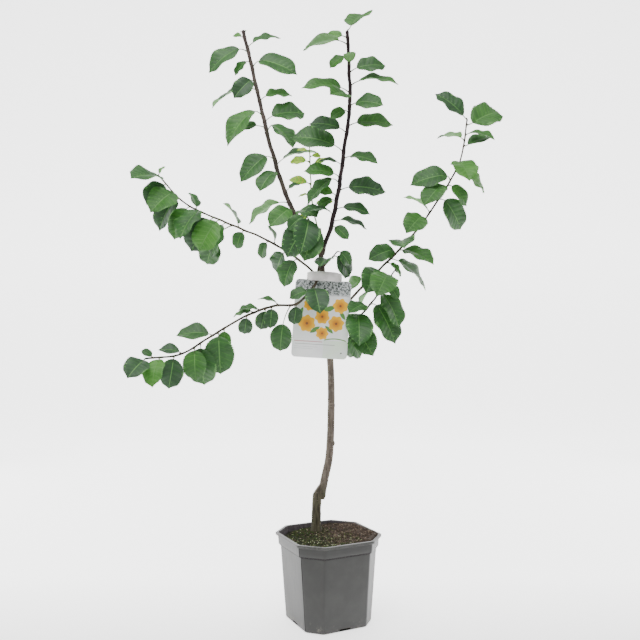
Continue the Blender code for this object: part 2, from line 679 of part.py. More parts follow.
room = [(None, tree_of_piece(piece)) for piece in solids]
room += [(name, tree_of_piece(stem)) for name, stem in stems.items()]
for name, stem in stems.items():
    join_all(stem, grow_leaves(name, room))
    finish(stem, plant, young_green if name == "centre_shoot" else leaf_green)
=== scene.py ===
import math
import random

import bmesh
import bpy
from mathutils import Matrix, Vector, noise
from mathutils.bvhtree import BVHTree


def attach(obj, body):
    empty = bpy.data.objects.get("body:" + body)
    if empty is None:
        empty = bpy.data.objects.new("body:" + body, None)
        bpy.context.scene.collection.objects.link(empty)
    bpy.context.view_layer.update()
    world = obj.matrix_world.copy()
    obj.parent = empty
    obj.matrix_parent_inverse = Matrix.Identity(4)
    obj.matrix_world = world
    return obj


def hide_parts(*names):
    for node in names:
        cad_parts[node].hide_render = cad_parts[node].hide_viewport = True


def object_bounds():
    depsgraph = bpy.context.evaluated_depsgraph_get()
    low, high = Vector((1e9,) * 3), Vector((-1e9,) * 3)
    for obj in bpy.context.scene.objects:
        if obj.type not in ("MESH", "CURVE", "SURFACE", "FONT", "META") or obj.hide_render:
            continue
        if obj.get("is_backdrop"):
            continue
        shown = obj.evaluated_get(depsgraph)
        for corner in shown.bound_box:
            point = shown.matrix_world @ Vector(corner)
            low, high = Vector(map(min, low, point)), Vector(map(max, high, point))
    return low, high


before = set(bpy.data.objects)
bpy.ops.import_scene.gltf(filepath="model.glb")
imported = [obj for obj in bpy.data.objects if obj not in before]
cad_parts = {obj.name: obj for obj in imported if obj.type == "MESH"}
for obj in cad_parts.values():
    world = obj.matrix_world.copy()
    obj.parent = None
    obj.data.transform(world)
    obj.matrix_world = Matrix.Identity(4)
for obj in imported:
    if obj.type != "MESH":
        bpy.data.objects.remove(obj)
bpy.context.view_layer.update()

# Studio: a white sweep of paper under and behind the plant, with soft boxes out of sight at both
# sides, a little behind it, and one overhead. The camera stands level, square to the label.
CAMERA_AT = (-0.0196, -1.867, 0.710)
CAMERA_LENS = 44.145
SENSOR_WIDTH = 36.0
PAPER_WIDTH = 9.0
PAPER_FRONT = -4.5
PAPER_TURN = 2.6               # where the paper starts to curve up
PAPER_RADIUS = 1.2
PAPER_STEPS = 12
PAPER_TOP = 4.5
PAPER_WHITE = (0.93, 0.93, 0.93)
PAPER_GLOW = 2.4               # painted light: the paper glows by itself, less and less in front
GLOW_FROM = -0.60
GLOW_FULL = 0.30
ROOM_LIGHT = 0.75
SOFT_BOXES = (                 # place, size, watts
    ((-2.1, 1.15, 0.9), (1.6, 2.2), 30.0),
    ((2.1, 1.15, 0.9), (1.6, 2.2), 30.0),
    ((-0.5, -1.2, 3.0), (2.6, 2.2), 90.0),
)
SOFT_BOX_AIM = Vector((0.0, 0.0, 0.65))


def placed(name, data):
    """A new object in the scene."""
    thing = bpy.data.objects.new(name, data)
    bpy.context.scene.collection.objects.link(thing)
    return thing


class Value:
    """A number in a material. Arithmetic on it adds Math nodes."""

    def __init__(self, finish, socket):
        self.finish = finish
        self.socket = socket

    def maths(self, operation, *others):
        return self.finish.node("Math", {"operation": operation}, dict(enumerate((self,) + others)))

    def __add__(self, other):
        return self.maths("ADD", other)

    def __radd__(self, other):
        return self.maths("ADD", other)

    def __sub__(self, other):
        return self.maths("SUBTRACT", other)

    def __rsub__(self, other):
        return (self * -1) + other

    def __mul__(self, other):
        return self.maths("MULTIPLY", other)

    def __rmul__(self, other):
        return self.maths("MULTIPLY", other)

    def __truediv__(self, other):
        return self.maths("DIVIDE", other)

    def __pow__(self, other):
        return self.maths("POWER", other)

    def step(self, low, high):
        """0 below low, 1 above high and smooth between; low may be the larger."""
        limits = {"Value": self, "From Min": low, "From Max": high}
        return self.finish.node("MapRange", {"interpolation_type": "SMOOTHSTEP"}, limits)


class Finish:
    """A Principled material that is built up from nodes."""

    def __init__(self, name, constants):
        self.material = bpy.data.materials.new(name)
        self.material.use_nodes = True
        self.tree = self.material.node_tree
        self.surface = self.tree.nodes["Principled BSDF"]
        self.coat(constants)

    def feed(self, socket, value):
        if isinstance(value, Value):
            self.tree.links.new(value.socket, socket)
        elif isinstance(value, tuple) and len(value) == 3 and socket.type == "RGBA":
            socket.default_value = (*value, 1.0)
        else:
            socket.default_value = value

    def node(self, kind, settings, inputs, output=0):
        """Any node: its settings are set first, then its sockets are given values or links."""
        made = self.tree.nodes.new("ShaderNode" + kind)
        for key, value in settings.items():
            setattr(made, key, value)
        for key, value in inputs.items():
            self.feed(made.inputs[key], value)
        return Value(self, made.outputs[output])

    def place(self, scale=(1.0, 1.0, 1.0)):
        """The piece's own coordinates, in metres, stretched by a scale."""
        spot = self.node("TexCoord", {}, {}, "Object")
        return self.node("Mapping", {}, {"Vector": spot, "Scale": scale})

    def own(self, axis):
        """The piece's own x, y or z, in metres."""
        return self.node("SeparateXYZ", {}, {0: self.place()}, "xyz".index(axis))

    def grain(self, size, detail=3.0, rough=0.5, scale=(1.0, 1.0, 1.0)):
        """Noise from 0 to 1 with features of a size in metres."""
        inputs = {"Vector": self.place(scale), "Scale": 1.0 / size, "Detail": detail, "Roughness": rough}
        return self.node("TexNoise", {}, inputs)

    def mix(self, mask, below, above):
        """One colour over another where the mask is 1."""
        return self.node("Mix", {"data_type": "RGBA"}, {0: mask, 6: below, 7: above}, 2)

    def relief(self, height, depth):
        """A bump of a depth in metres for the surface's normal."""
        return self.node("Bump", {}, {"Height": height, "Distance": depth, "Strength": 1.0})

    def coat(self, sockets):
        for name, value in sockets.items():
            self.feed(self.surface.inputs[name], value)
        return self.material


lens = bpy.data.cameras.new("camera")
lens.lens = CAMERA_LENS
lens.sensor_width = SENSOR_WIDTH
camera = placed("camera", lens)
camera.location = CAMERA_AT
camera.rotation_euler = (math.pi / 2, 0.0, 0.0)
bpy.context.scene.camera = camera

profile = [(PAPER_FRONT, 0.0), (PAPER_TURN, 0.0)]
for step in range(1, PAPER_STEPS + 1):
    angle = math.pi / 2 * step / PAPER_STEPS
    profile.append((PAPER_TURN + PAPER_RADIUS * math.sin(angle), PAPER_RADIUS * (1 - math.cos(angle))))
profile.append((PAPER_TURN + PAPER_RADIUS, PAPER_TOP))
paper_mesh = bpy.data.meshes.new("paper_sweep")
paper_mesh.from_pydata(
    [(side * PAPER_WIDTH / 2, y, z) for y, z in profile for side in (-1, 1)], [],
    [(2 * row, 2 * row + 1, 2 * row + 3, 2 * row + 2) for row in range(len(profile) - 1)])
paper_mesh.shade_smooth()
white = Finish("paper_white", {"Base Color": PAPER_WHITE, "Roughness": 1.0, "Emission Strength": PAPER_GLOW})
# painted light: the paper glows, fully behind and fading out toward the front
glow = white.node("MapRange", {}, {"Value": white.own("y"), "From Min": GLOW_FROM, "From Max": GLOW_FULL})
paper_mesh.materials.append(white.coat({"Emission Color": glow}))
placed("paper_sweep", paper_mesh)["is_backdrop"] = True

for place, size, watts in SOFT_BOXES:
    light = bpy.data.lights.new("soft_box", "AREA")
    light.shape = "RECTANGLE"
    light.size, light.size_y = size
    light.energy = watts
    box = placed("soft_box", light)
    box.location = place
    box.rotation_euler = (SOFT_BOX_AIM - Vector(place)).to_track_quat("-Z", "Y").to_euler()

world = bpy.data.worlds.new("white_room")
world.use_nodes = True
walls = world.node_tree.nodes["Background"].inputs
walls["Color"].default_value = (1.0, 1.0, 1.0, 1.0)
walls["Strength"].default_value = ROOM_LIGHT
bpy.context.scene.world = world


# Pot: a square nursery pot with its corners cut off, vacuum formed from thin recycled plastic.
# It tapers to its foot, has a stiffer band and a lip at the top, mould seams on two corners, and
# drain slots at the foot. The thin walls bow a little.
UP = Vector((0.0, 0.0, 1.0))
GAP = 0.0003
POT_TURN = math.radians(26.2)
POT_HEIGHT = 0.2035
RIM_ACROSS = 0.2205
RIM_CORNER = 0.042
FOOT_ACROSS = 0.172
FOOT_CORNER = 0.031
FOOT_ROUND = 0.004
FOOT_STEPS = 4
WALL = 0.0018
LIP_PROUD = 0.0050
LIP_THICK = 0.0065
LIP_ROUND = 0.0012
BAND_HEIGHT = 0.025
BAND_PROUD = 0.0044
BAND_SLOPE = 0.0050            # height of the band's sloping underside
BAND_FOOT = POT_HEIGHT - LIP_THICK - BAND_HEIGHT
EASE = 0.0003                  # how far the mould's sharp edges are eased
WALL_ROWS = 12
CORNER_SPREAD = 2 - math.sqrt(2)
CORNER_ROUND = 0.0035          # how far a corner's rounding reaches along each side
CORNER_STEPS = 4
SIDE_STEPS = 7
WALL_BOW = 0.0005
SEAM_PROUD = 0.0005
SEAM_HALF = 0.0007
SEAM_CORNERS = (5, 1)
DRAIN_LENGTH = 0.028
DRAIN_HEIGHT = 0.0045
DRAIN_DEPTH = 0.012
DRAIN_LEVEL = 0.0042
POT_GREY = (0.0125, 0.0125, 0.0112)
POT_PALE = (0.0190, 0.0190, 0.0172)
POT_DUST = (0.20, 0.185, 0.155)
DUST_TOP = 0.035


def gather(name, lumps):
    """One smooth object of any number of solids, each given as points and faces."""
    verts, faces = [], []
    for points, sides in lumps:
        faces += [tuple(len(verts) + corner for corner in side) for side in sides]
        verts += points
    mesh = bpy.data.meshes.new(name)
    mesh.from_pydata([tuple(vert) for vert in verts], [], faces)
    mesh.shade_smooth()
    return placed(name, mesh)


def facing_out(piece):
    """Turn every face of a closed piece outwards."""
    form = bmesh.new()
    form.from_mesh(piece.data)
    bmesh.ops.recalc_face_normals(form, faces=form.faces)
    form.to_mesh(piece.data)
    form.free()
    return piece


def loft(rings, tip=None):
    """Points and faces of a closed solid through rings of as many points, or up to a tip point."""
    count = len(rings[0])
    verts = [point for ring in rings for point in ring]
    faces = [tuple(range(count))]
    for row in range(len(rings) - 1):
        for a in range(count):
            b = (a + 1) % count
            low, high = row * count, (row + 1) * count
            faces.append((low + a, low + b, high + b, high + a))
    last = (len(rings) - 1) * count
    if tip is None:
        faces.append(tuple(range(last, last + count)))
    else:
        verts.append(tip)
        faces += [(last + a, last + (a + 1) % count, len(verts) - 1) for a in range(count)]
    return verts, faces


def fixed(piece):
    """Apply a piece's modifiers."""
    ready = piece.evaluated_get(bpy.context.evaluated_depsgraph_get())
    piece.data = bpy.data.meshes.new_from_object(ready)
    piece.modifiers.clear()
    return piece


def cut_box(piece, size, place):
    """Take a box out of a piece; the matrix places the box's middle."""
    bpy.ops.mesh.primitive_cube_add(size=1.0)
    box = bpy.context.object
    box.data.transform(Matrix.Diagonal((*size, 1.0)))
    box.matrix_world = place
    trim = piece.modifiers.new("cut", "BOOLEAN")
    trim.operation = "DIFFERENCE"
    trim.object = box
    fixed(piece)
    bpy.data.objects.remove(box, do_unlink=True)


def dress(piece, materials, slot_name, *nodes):
    """Give a piece its materials, and let it stand for CAD nodes on the one body."""
    piece.data.materials.clear()
    for material in materials:
        piece.data.materials.append(material)
    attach(piece, "root")
    if nodes:
        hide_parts(*nodes)
    return piece


def pot_across(height):
    """Width and corner cut of the pot's plain tapering side at a height."""
    share = height / POT_HEIGHT
    rim = RIM_ACROSS - 2 * (LIP_PROUD + BAND_PROUD)
    return FOOT_ACROSS + (rim - FOOT_ACROSS) * share, FOOT_CORNER + (RIM_CORNER - FOOT_CORNER) * share


def pot_corners(height, proud):
    """The eight corners of the pot's outline, some way outside its plain side."""
    across, corner = pot_across(height)
    half = across / 2 + proud
    flat = half - corner - CORNER_SPREAD * proud
    square = ((half, -flat), (half, flat), (flat, half), (-flat, half),
              (-half, flat), (-half, -flat), (-flat, -half), (flat, -half))
    spin = Matrix.Rotation(POT_TURN, 3, "Z")
    return [spin @ Vector((x, y, height)) for x, y in square]


def pot_ring(height, proud):
    """The pot's outline at a height, with rounded corners and slightly bowed walls."""
    corners = pot_corners(height, proud)
    ring = []
    for index, corner in enumerate(corners):
        before, after = corners[index - 1], corners[(index + 1) % 8]
        start = corner + (before - corner).normalized() * CORNER_ROUND
        end = corner + (after - corner).normalized() * CORNER_ROUND
        for step in range(CORNER_STEPS + 1):
            share = step / CORNER_STEPS
            ring.append(start.lerp(corner, share).lerp(corner.lerp(end, share), share))
        far = after + (corner - after).normalized() * CORNER_ROUND
        ring += [end.lerp(far, step / SIDE_STEPS) for step in range(1, SIDE_STEPS)]
    low = math.sin(math.pi * min(1.0, height / BAND_FOOT))
    for point in ring:
        out = Vector((point.x, point.y, 0.0)).normalized()
        point += out * (WALL_BOW * low * noise.noise(Vector((out.x * 2.1, out.y * 2.1, height * 9))))
    return ring


lip = BAND_PROUD + LIP_PROUD
lip_foot = POT_HEIGHT - LIP_THICK
inner = BAND_PROUD - WALL
pot_profile = []               # height, and how far it stands outside the plain side
for step in range(FOOT_STEPS + 1):
    angle = math.pi / 2 * step / FOOT_STEPS
    pot_profile.append((FOOT_ROUND * (1 - math.cos(angle)), -FOOT_ROUND * (1 - math.sin(angle))))
for step in range(1, WALL_ROWS + 1):
    pot_profile.append((FOOT_ROUND + (BAND_FOOT - FOOT_ROUND) * step / WALL_ROWS, 0.0))
pot_profile += [
    (BAND_FOOT + 0.0004, EASE), (BAND_FOOT + BAND_SLOPE - 0.0008, BAND_PROUD - EASE),
    (BAND_FOOT + BAND_SLOPE, BAND_PROUD), (BAND_FOOT + 0.014, BAND_PROUD),
    (lip_foot - 0.0005, BAND_PROUD), (lip_foot, BAND_PROUD + 0.0004), (lip_foot + EASE, lip - LIP_ROUND),
    (lip_foot + LIP_ROUND, lip), (POT_HEIGHT - LIP_ROUND, lip), (POT_HEIGHT - 0.0002, lip - EASE),
    (POT_HEIGHT, lip - LIP_ROUND), (POT_HEIGHT, inner), (POT_HEIGHT - LIP_ROUND, inner - 0.0002),
    (BAND_FOOT + 0.002, inner), (BAND_FOOT, -WALL), (FOOT_ROUND, -WALL), (WALL, -WALL - FOOT_ROUND * 0.4),
]
pot = facing_out(gather("pot_shell", [loft([pot_ring(height, proud) for height, proud in pot_profile])]))
for quarter in range(4):
    turn = Matrix.Rotation(POT_TURN + quarter * math.pi / 2, 4, "Z")
    cut_box(pot, (DRAIN_DEPTH, DRAIN_LENGTH, DRAIN_HEIGHT),
            turn @ Matrix.Translation((FOOT_ACROSS / 2, 0.0, DRAIN_LEVEL)))
pot.data.set_sharp_from_angle(angle=math.radians(28))

plastic = Finish("recycled_grey_plastic", {"Specular IOR Level": 0.5})
clouds = plastic.grain(0.05, 4.0, 0.6)
streaks = plastic.grain(0.006, 3.0, 0.6, (1.0, 1.0, 0.12))
scuffs = plastic.grain(0.012, 6.0, 0.7).step(0.60, 0.72)
dirt = plastic.grain(0.018, 5.0, 0.65).step(0.52, 0.70)
dusty = plastic.own("z").step(DUST_TOP, 0.0) * dirt
grey = plastic.mix(clouds.step(0.35, 0.7), POT_GREY, POT_PALE)
grey = plastic.mix(scuffs * 0.25, grey, POT_PALE)
grey = plastic.mix(dusty * 0.6, grey, POT_DUST)
plastic.coat({"Base Color": grey, "Roughness": 0.36 + streaks * 0.10 + dusty * 0.25,
              "Normal": plastic.relief(streaks * 0.5 + clouds, 0.0004)})


def worn_or_shaded_plastic(name, dark, light, rough, shine):
    """The same plastic where it is rubbed pale or dusty, or near-black as painted shade."""
    look = Finish(name, {"Specular IOR Level": shine})
    blotch = look.grain(0.007, 4.0, 0.65)
    colour = look.mix(blotch.step(0.35, 0.65), dark, light)
    return look.coat({"Base Color": colour, "Roughness": rough + blotch * 0.15})


pot_looks = [
    plastic.material,
    worn_or_shaded_plastic("rubbed_lip_plastic", (0.026, 0.026, 0.024), (0.052, 0.052, 0.048), 0.38, 0.5),
    worn_or_shaded_plastic("dusty_inner_plastic", (0.050, 0.044, 0.047), (0.095, 0.084, 0.088), 0.75, 0.2),
    # near-black, almost without sheen: painted shade under the band's and lip's steps, also used for the
    # seams
    worn_or_shaded_plastic("painted_shade_and_seam_plastic", (0.004, 0.004, 0.004), (0.008, 0.008, 0.007), 0.80, 0.1),
]
dress(pot, pot_looks, "pot_grey_plastic", "pot")
for face in pot.data.polygons:
    level = face.center.z
    outer = face.normal.to_2d().dot(face.center.to_2d()) > -0.0001
    step_foot = BAND_FOOT < level < BAND_FOOT + BAND_PROUD or lip_foot - 0.001 < level < lip_foot
    if level > lip_foot and outer:
        face.material_index = 1
    elif not outer:
        face.material_index = 2
    # near-black painted shade on the downward faces under the band's and the lip's steps
    elif step_foot and face.normal.z < -0.2:
        face.material_index = 3

for number in SEAM_CORNERS:
    rings = []
    for height, proud in pot_profile[FOOT_STEPS - 1:-9]:
        middle = pot_corners(height, proud)[number]
        out = Vector((middle.x, middle.y, 0.0)).normalized()
        side = out.cross(UP)
        crest = middle - out * (CORNER_ROUND * 0.20)
        rings.append([crest - side * SEAM_HALF, crest + out * SEAM_PROUD, crest + side * SEAM_HALF,
                      crest - out * SEAM_PROUD])
    seam = facing_out(gather("pot_seam_%d" % number, [loft(rings)]))
    dress(seam, pot_looks[3:], "pot_grey_plastic", "pot")


# Root ball: moist compost that fills the pot. It lies low at the left and back, where the wall
# shows above it, and is heaped at the right. Bark chips and fibres lie on the right of it, and
# dark moss with pale liverwort lobes has grown over the left and the front.
SOIL_LEVEL = 0.197
SOIL_SLOPE = 0.085
SOIL_DIP = 0.0015
SOIL_EDGE = 0.186
SOIL_BUMP = 0.0012
SOIL_FLAT = 0.020
SOIL_BLEND = 0.030
SOIL_ROUGH = 0.0016
SOIL_ROWS = 34
TRUNK_FOOT = Vector((-0.0285, 0.042))
EARTH_DARK = (0.018, 0.014, 0.010)
EARTH_RED = (0.066, 0.045, 0.031)
MOSS_DARK = (0.016, 0.026, 0.010)


def soil_height(x, y):
    """Height of the compost's surface, level round the trunk's foot."""
    away = (Vector((x, y)) - TRUNK_FOOT).length
    loose = min(1.0, max(0.0, (away - SOIL_FLAT) / SOIL_BLEND))
    bumps = SOIL_BUMP * (math.sin(x * 190 + 1.3) * math.cos(y * 160) + 0.6 * math.sin(x * 90 - y * 210))
    return SOIL_LEVEL + loose * (SOIL_SLOPE * (x - TRUNK_FOOT.x / 2) - SOIL_DIP + bumps)


def crumbly(x, y):
    """The surface with its crumbs."""
    fine = noise.noise(Vector((x * 230, y * 230, 0.7))) + 0.6 * noise.noise(Vector((x * 560, y * 560, 3.1)))
    return soil_height(x, y) + SOIL_ROUGH * fine


def blob(middle, radii, turn, draw):
    """A lumpy eight-sided crumb as points and faces."""
    verts = []
    for x, y, z in ((1, 0, 0), (0, 1, 0), (-1, 0, 0), (0, -1, 0), (0, 0, 1), (0, 0, -1)):
        lump = draw.uniform(0.75, 1.15)
        verts.append(middle + turn @ Vector((x * radii[0] * lump, y * radii[1] * lump, z * radii[2] * lump)))
    faces = [(0, 1, 4), (1, 2, 4), (2, 3, 4), (3, 0, 4), (1, 0, 5), (2, 1, 5), (3, 2, 5), (0, 3, 5)]
    return verts, faces


def soil_spots(draw, count, weight):
    """Seeded places on the compost, denser where the weight is near 1."""
    edge = pot_across(SOIL_LEVEL)[0] / 2 - WALL - 0.003
    spots = []
    while len(spots) < count:
        x, y = draw.uniform(-edge, edge), draw.uniform(-edge, edge)
        if abs(x) + abs(y) > edge * 1.50 or draw.random() > weight(x, y):
            continue
        spot = Matrix.Rotation(POT_TURN, 2) @ Vector((x, y))
        if (spot - TRUNK_FOOT).length > 0.014:
            spots.append(spot)
    return spots


def mossy(x, y):
    """How mossy a place is: the left and front, in patches. Coordinates are square to the pot."""
    spot = Matrix.Rotation(POT_TURN, 2) @ Vector((x, y))
    patch = noise.noise(Vector((spot.x * 28, spot.y * 28, 9.0))) * 0.35
    return min(1.0, max(0.0, 0.5 - (spot.x * 9 + spot.y * 3.5) + patch))


inset = WALL + GAP
rings = [pot_ring(inset, -inset - FOOT_ROUND), pot_ring(inset + FOOT_ROUND, -inset),
         pot_ring(BAND_FOOT + GAP, -inset), pot_ring(BAND_FOOT + GAP + BAND_PROUD, BAND_PROUD - inset)]
edge = pot_ring(SOIL_EDGE, BAND_PROUD - inset)
for row in range(SOIL_ROWS):
    ring = []
    for point in edge:
        x, y = point.to_2d().lerp(TRUNK_FOOT, row / SOIL_ROWS)
        ring.append(Vector((x, y, crumbly(x, y))))
    rings.append(ring)
root_ball = facing_out(gather("compost_block", [loft(rings, Vector((*TRUNK_FOOT, SOIL_LEVEL)))]))

earth = Finish("compost", {"Roughness": 0.95, "Specular IOR Level": 0.2})
specks = earth.grain(0.0025, 4.0, 0.7)
patches = earth.grain(0.022, 3.0, 0.6)
brown = earth.mix(specks.step(0.42, 0.62), EARTH_DARK, EARTH_RED)
green = earth.mix(specks.step(0.45, 0.65), EARTH_DARK, MOSS_DARK)
turf = (0.55 - earth.own("x") * 11 + (patches - 0.5)).step(0.35, 0.75)
earth.coat({"Base Color": earth.mix(turf, brown, green), "Normal": earth.relief(specks, 0.0012)})
dress(root_ball, [earth.material], "compost", "root_ball")


def speckled(name, dark, light, rough=0.9):
    """A matt material whose colour wanders between two shades from crumb to crumb."""
    look = Finish(name, {"Roughness": rough, "Specular IOR Level": 0.25})
    return look.coat({"Base Color": look.mix(look.grain(0.004, 2.0, 0.6).step(0.38, 0.62), dark, light)})


def strew(name, draw, count, weight, sizes, tilts, radii, lift, shades):
    """Bits strewn over the compost. A bit's radii and its middle's lift are worked out from its size."""
    lumps = []
    for spot in soil_spots(draw, count, weight):
        size = draw.uniform(*sizes)
        turn = Matrix.Identity(3)
        for axis, least, most in tilts:
            turn = turn @ Matrix.Rotation(draw.uniform(least, most), 3, axis)
        middle = Vector((*spot, crumbly(*spot) + lift(size)))
        lumps.append(blob(middle, radii(size), turn, draw))
    dress(gather(name, lumps), [speckled(*shades)], "compost", "root_ball")


draw = random.Random(31)
strew("compost_crumbs", draw, 2300, lambda x, y: 1.0 - 0.6 * mossy(x, y), (0.0007, 0.0021),
      (("Z", 0, 6.3), ("X", -0.6, 0.6)), lambda size: (size * 1.3, size, size * 0.8), lambda size: size * 0.3,
      ("crumb_brown", (0.026, 0.019, 0.013), (0.105, 0.073, 0.050)))
strew("bark_chips", draw, 420, lambda x, y: 1.0 - 0.85 * mossy(x, y), (0.0018, 0.0046),
      (("Z", 0, 6.3), ("Y", -0.4, 0.4)), lambda size: (size, size * draw.uniform(0.12, 0.35), 0.0006),
      lambda size: 0.0008, ("chip_tan", (0.095, 0.060, 0.040), (0.340, 0.260, 0.185)))
strew("moss_tufts", draw, 1500, mossy, (0.0010, 0.0026),
      (("X", -0.5, 0.5), ("Y", -0.5, 0.5)), lambda size: (0.0011, 0.0011, size), lambda size: size * 0.5,
      ("moss_green", (0.018, 0.030, 0.008), (0.055, 0.085, 0.020)))
strew("liverwort_lobes", draw, 125, lambda x, y: mossy(x, y) * (0.25 if y > 0 else 1.0), (0.0014, 0.0034),
      (("Z", 0, 6.3), ("X", -0.5, 0.5)), lambda size: (size, size * 0.55, 0.0007), lambda size: 0.0018,
      ("liverwort_pale", (0.20, 0.25, 0.10), (0.48, 0.49, 0.33)))


# Trunk: a greenish rootstock with a flared foot and a slanting graft cut, and the greyer scion
# grown out of its side, one tapering stem to the fork. The callus of the graft, the old buds and
# the collars under the boughs swell out of it. Its bark has fine furrows and pale breathing pores.
STOCK_KNOTS = ((-0.0285, 0.042, 0.190), (-0.0285, 0.042, 0.250), (-0.0240, 0.042, 0.318))
STOCK_SECTIONS = 36
STOCK_RADIUS = 0.0112
FLARE_RADIUS = 0.0138
FLARE_HEIGHT = 0.028
GRAFT_POINT = Vector((-0.0275, 0.042, 0.300))
GRAFT_SLOPE = math.radians(54)
TRIM_BOX = 0.06
SCION_KNOTS = (
    (-0.0180, 0.042, 0.276), (-0.0080, 0.041, 0.326), (0.0022, 0.040, 0.375), (0.0066, 0.040, 0.450),
    (0.0070, 0.038, 0.576), (-0.0005, 0.036, 0.680), (-0.0085, 0.034, 0.770), (-0.0160, 0.032, 0.850),
    (-0.0230, 0.030, 0.932),
)
SCION_SECTIONS = 60
SCION_RADII = (0.0100, 0.0062)
SWELLINGS = (
    ((-0.0125, 0.041, 0.284), 0.0072), ((0.0122, 0.038, 0.411), 0.0050), ((0.0128, 0.037, 0.503), 0.0046),
    ((0.0060, 0.034, 0.574), 0.0066), ((-0.0075, 0.033, 0.690), 0.0050), ((-0.0150, 0.034, 0.745), 0.0043),
)
SWELLING_STRETCH = 1.25
SWELLING_ROWS = 8
SWELLING_SIDES = 12
BARK_VOXEL = 0.0012
OLD_BARK_TOP = 0.31
YOUNG_BARK = 0.45              # how rough the scion's bark is beside the rootstock's
FURROW_DEPTH = 0.00055
PORE_DEPTH = 0.0004
KNOB_DEPTH = 0.0006
BACK = Vector((0.0, 1.0, 0.0))
PATH_STEPS = 60
AXIS_REACH = 0.01
TAPER = 0.8
COLLAR_STEPS = 6
COLLAR_LENGTH = 0.022
COLLAR_SWELL = 1.55            # of the bough's radius, at the trunk

# The shoots that leave the trunk: knots of their paths, radii at foot and tip, the bare share of
# their length and whether that is a bough of its own, the noon of the leaves' dial, the blades'
# breadth, and a word for each step up the leafy stretch: the leaf's hour on the dial, its size and
# its poise, or a dot for a bare step.
SHOOTS = {
    "left_leader": dict(
        knots=((-0.021, 0.032, 0.896), (-0.073, 0.046, 0.954), (-0.115, 0.066, 1.050),
               (-0.153, 0.088, 1.182), (-0.178, 0.108, 1.291), (-0.215, 0.130, 1.445)),
        radii=(0.0060, 0.0043), bare=0.12, bough=True, noon=BACK, breadth=0.66, stalk=0.22, seed=11,
        plan="4M- 6M- . 9L= . 3S . . 7M- . 3L= 8L- . . . . 4L- 9L 3L 8X- . . 3M . 9X 8M- . . 4X- 8S- . "
             "8L- 3M . 9T+ 12T+"),
    "right_leader": dict(
        knots=((-0.016, 0.032, 0.870), (0.014, 0.010, 0.960), (0.035, -0.028, 1.090),
               (0.049, -0.066, 1.225), (0.041, -0.098, 1.363)),
        radii=(0.0056, 0.0036), bare=0.11, bough=True, noon=BACK, breadth=0.60, stalk=0.22, seed=12,
        plan="4S- 3M 8M 3M 9S- 9S 3L 9L- 9M . 9S= 4M 9X . . 9M 3L . 8S- 4M 7M 9L 3L . 3M 6S+ 7S- . 9L= "
             "10S 1L+"),
    "centre_shoot": dict(
        knots=((-0.023, 0.030, 0.922), (-0.038, 0.034, 0.990), (-0.044, 0.043, 1.090),
               (-0.046, 0.050, 1.176)),
        radii=(0.0020, 0.0012), bare=0.12, bough=False, noon=BACK, breadth=0.50, stalk=0.22, seed=13,
        plan=". 9S- 3S . 9T 3T 8S . . 3S+ 9S 3T 9T . 9T+ 3T+ 12T+"),
    "upper_left_bough": dict(
        knots=((-0.009, 0.036, 0.770), (-0.039, 0.066, 0.830), (-0.079, 0.073, 0.863),
               (-0.144, 0.085, 0.905), (-0.268, 0.115, 0.961), (-0.364, 0.135, 1.008),
               (-0.436, 0.150, 1.083)),
        radii=(0.0032, 0.0019), bare=0.20, bough=True, noon=UP, breadth=0.80, stalk=0.12, seed=14,
        plan="5M- . 7M- . 12S= 6S- . . . 6S- 12M= 6M_ 6L- 5L- 4L- . 3L- 12S= 4L- . 4L- 3L- . 3M- 3L "
             "12T="),
    "lower_left_bough": dict(
        knots=((-0.018, 0.033, 0.862), (-0.023, 0.006, 0.832), (-0.030, -0.002, 0.797),
               (-0.074, -0.035, 0.748), (-0.123, -0.060, 0.743), (-0.189, -0.090, 0.718),
               (-0.259, -0.125, 0.675), (-0.326, -0.150, 0.635), (-0.398, -0.175, 0.627)),
        radii=(0.0034, 0.0019), bare=0.15, bough=True, noon=UP, breadth=0.74, stalk=0.10, seed=15,
        plan="3M 11S . . 6S- 6M_ . 12S= 5S- 6S 12S= 12S= 7S- . . . 6S- 5L- 12M . 6L- 5M- . 12S 5M- . "
             "4M 12T 4M+"),
    "right_bough": dict(
        knots=((-0.001, 0.037, 0.705), (0.054, 0.047, 0.761), (0.120, 0.057, 0.827),
               (0.180, 0.067, 0.887), (0.228, 0.075, 0.942), (0.298, 0.085, 1.046),
               (0.331, 0.092, 1.111), (0.350, 0.100, 1.214)),
        radii=(0.0034, 0.0018), bare=0.18, bough=True, noon=UP, breadth=0.64, stalk=0.15, seed=16,
        plan="12L- . . 11L- . . 6S 6X 12M- 8L 11L- . . . . . 11L- . 12M= . . 6L- . 11L- 6M- 12L- . 6L "
             "10L- . . . 7M+ 12M= 6M= . 6X+ 12L+"),
    "low_right_bough": dict(
        knots=((0.001, 0.037, 0.637), (0.046, 0.035, 0.686), (0.101, 0.028, 0.747), (0.137, 0.020, 0.797),
               (0.163, 0.014, 0.832)),
        radii=(0.0030, 0.0017), bare=0.22, bough=True, noon=UP, breadth=0.64, stalk=0.15, seed=20,
        plan=". 8L- . 10L- . 11M- 7X- . 7L- 12L- 7S- 10L- . ."),
    "fork_spur": dict(
        knots=((-0.021, 0.030, 0.908), (-0.034, 0.012, 0.935), (-0.053, -0.006, 0.957)),
        radii=(0.0022, 0.0015), bare=0.42, bough=False, noon=UP, breadth=0.68, stalk=0.15, seed=17,
        plan="5L- 7L- 5L- 9S"),
    "collar_spur": dict(
        knots=((-0.015, 0.033, 0.836), (0.004, 0.018, 0.854), (0.021, 0.010, 0.873)),
        radii=(0.0022, 0.0015), bare=0.42, bough=False, noon=UP, breadth=0.66, stalk=0.15, seed=18,
        plan="10M= . 5M- . 4S-"),
    "label_spur": dict(
        knots=((0.002, 0.037, 0.652), (0.019, 0.024, 0.662), (0.033, 0.018, 0.672)),
        radii=(0.0018, 0.0014), bare=0.50, bough=False, noon=UP, breadth=0.60, stalk=0.22, seed=19,
        plan="3M- 6M-"),
}


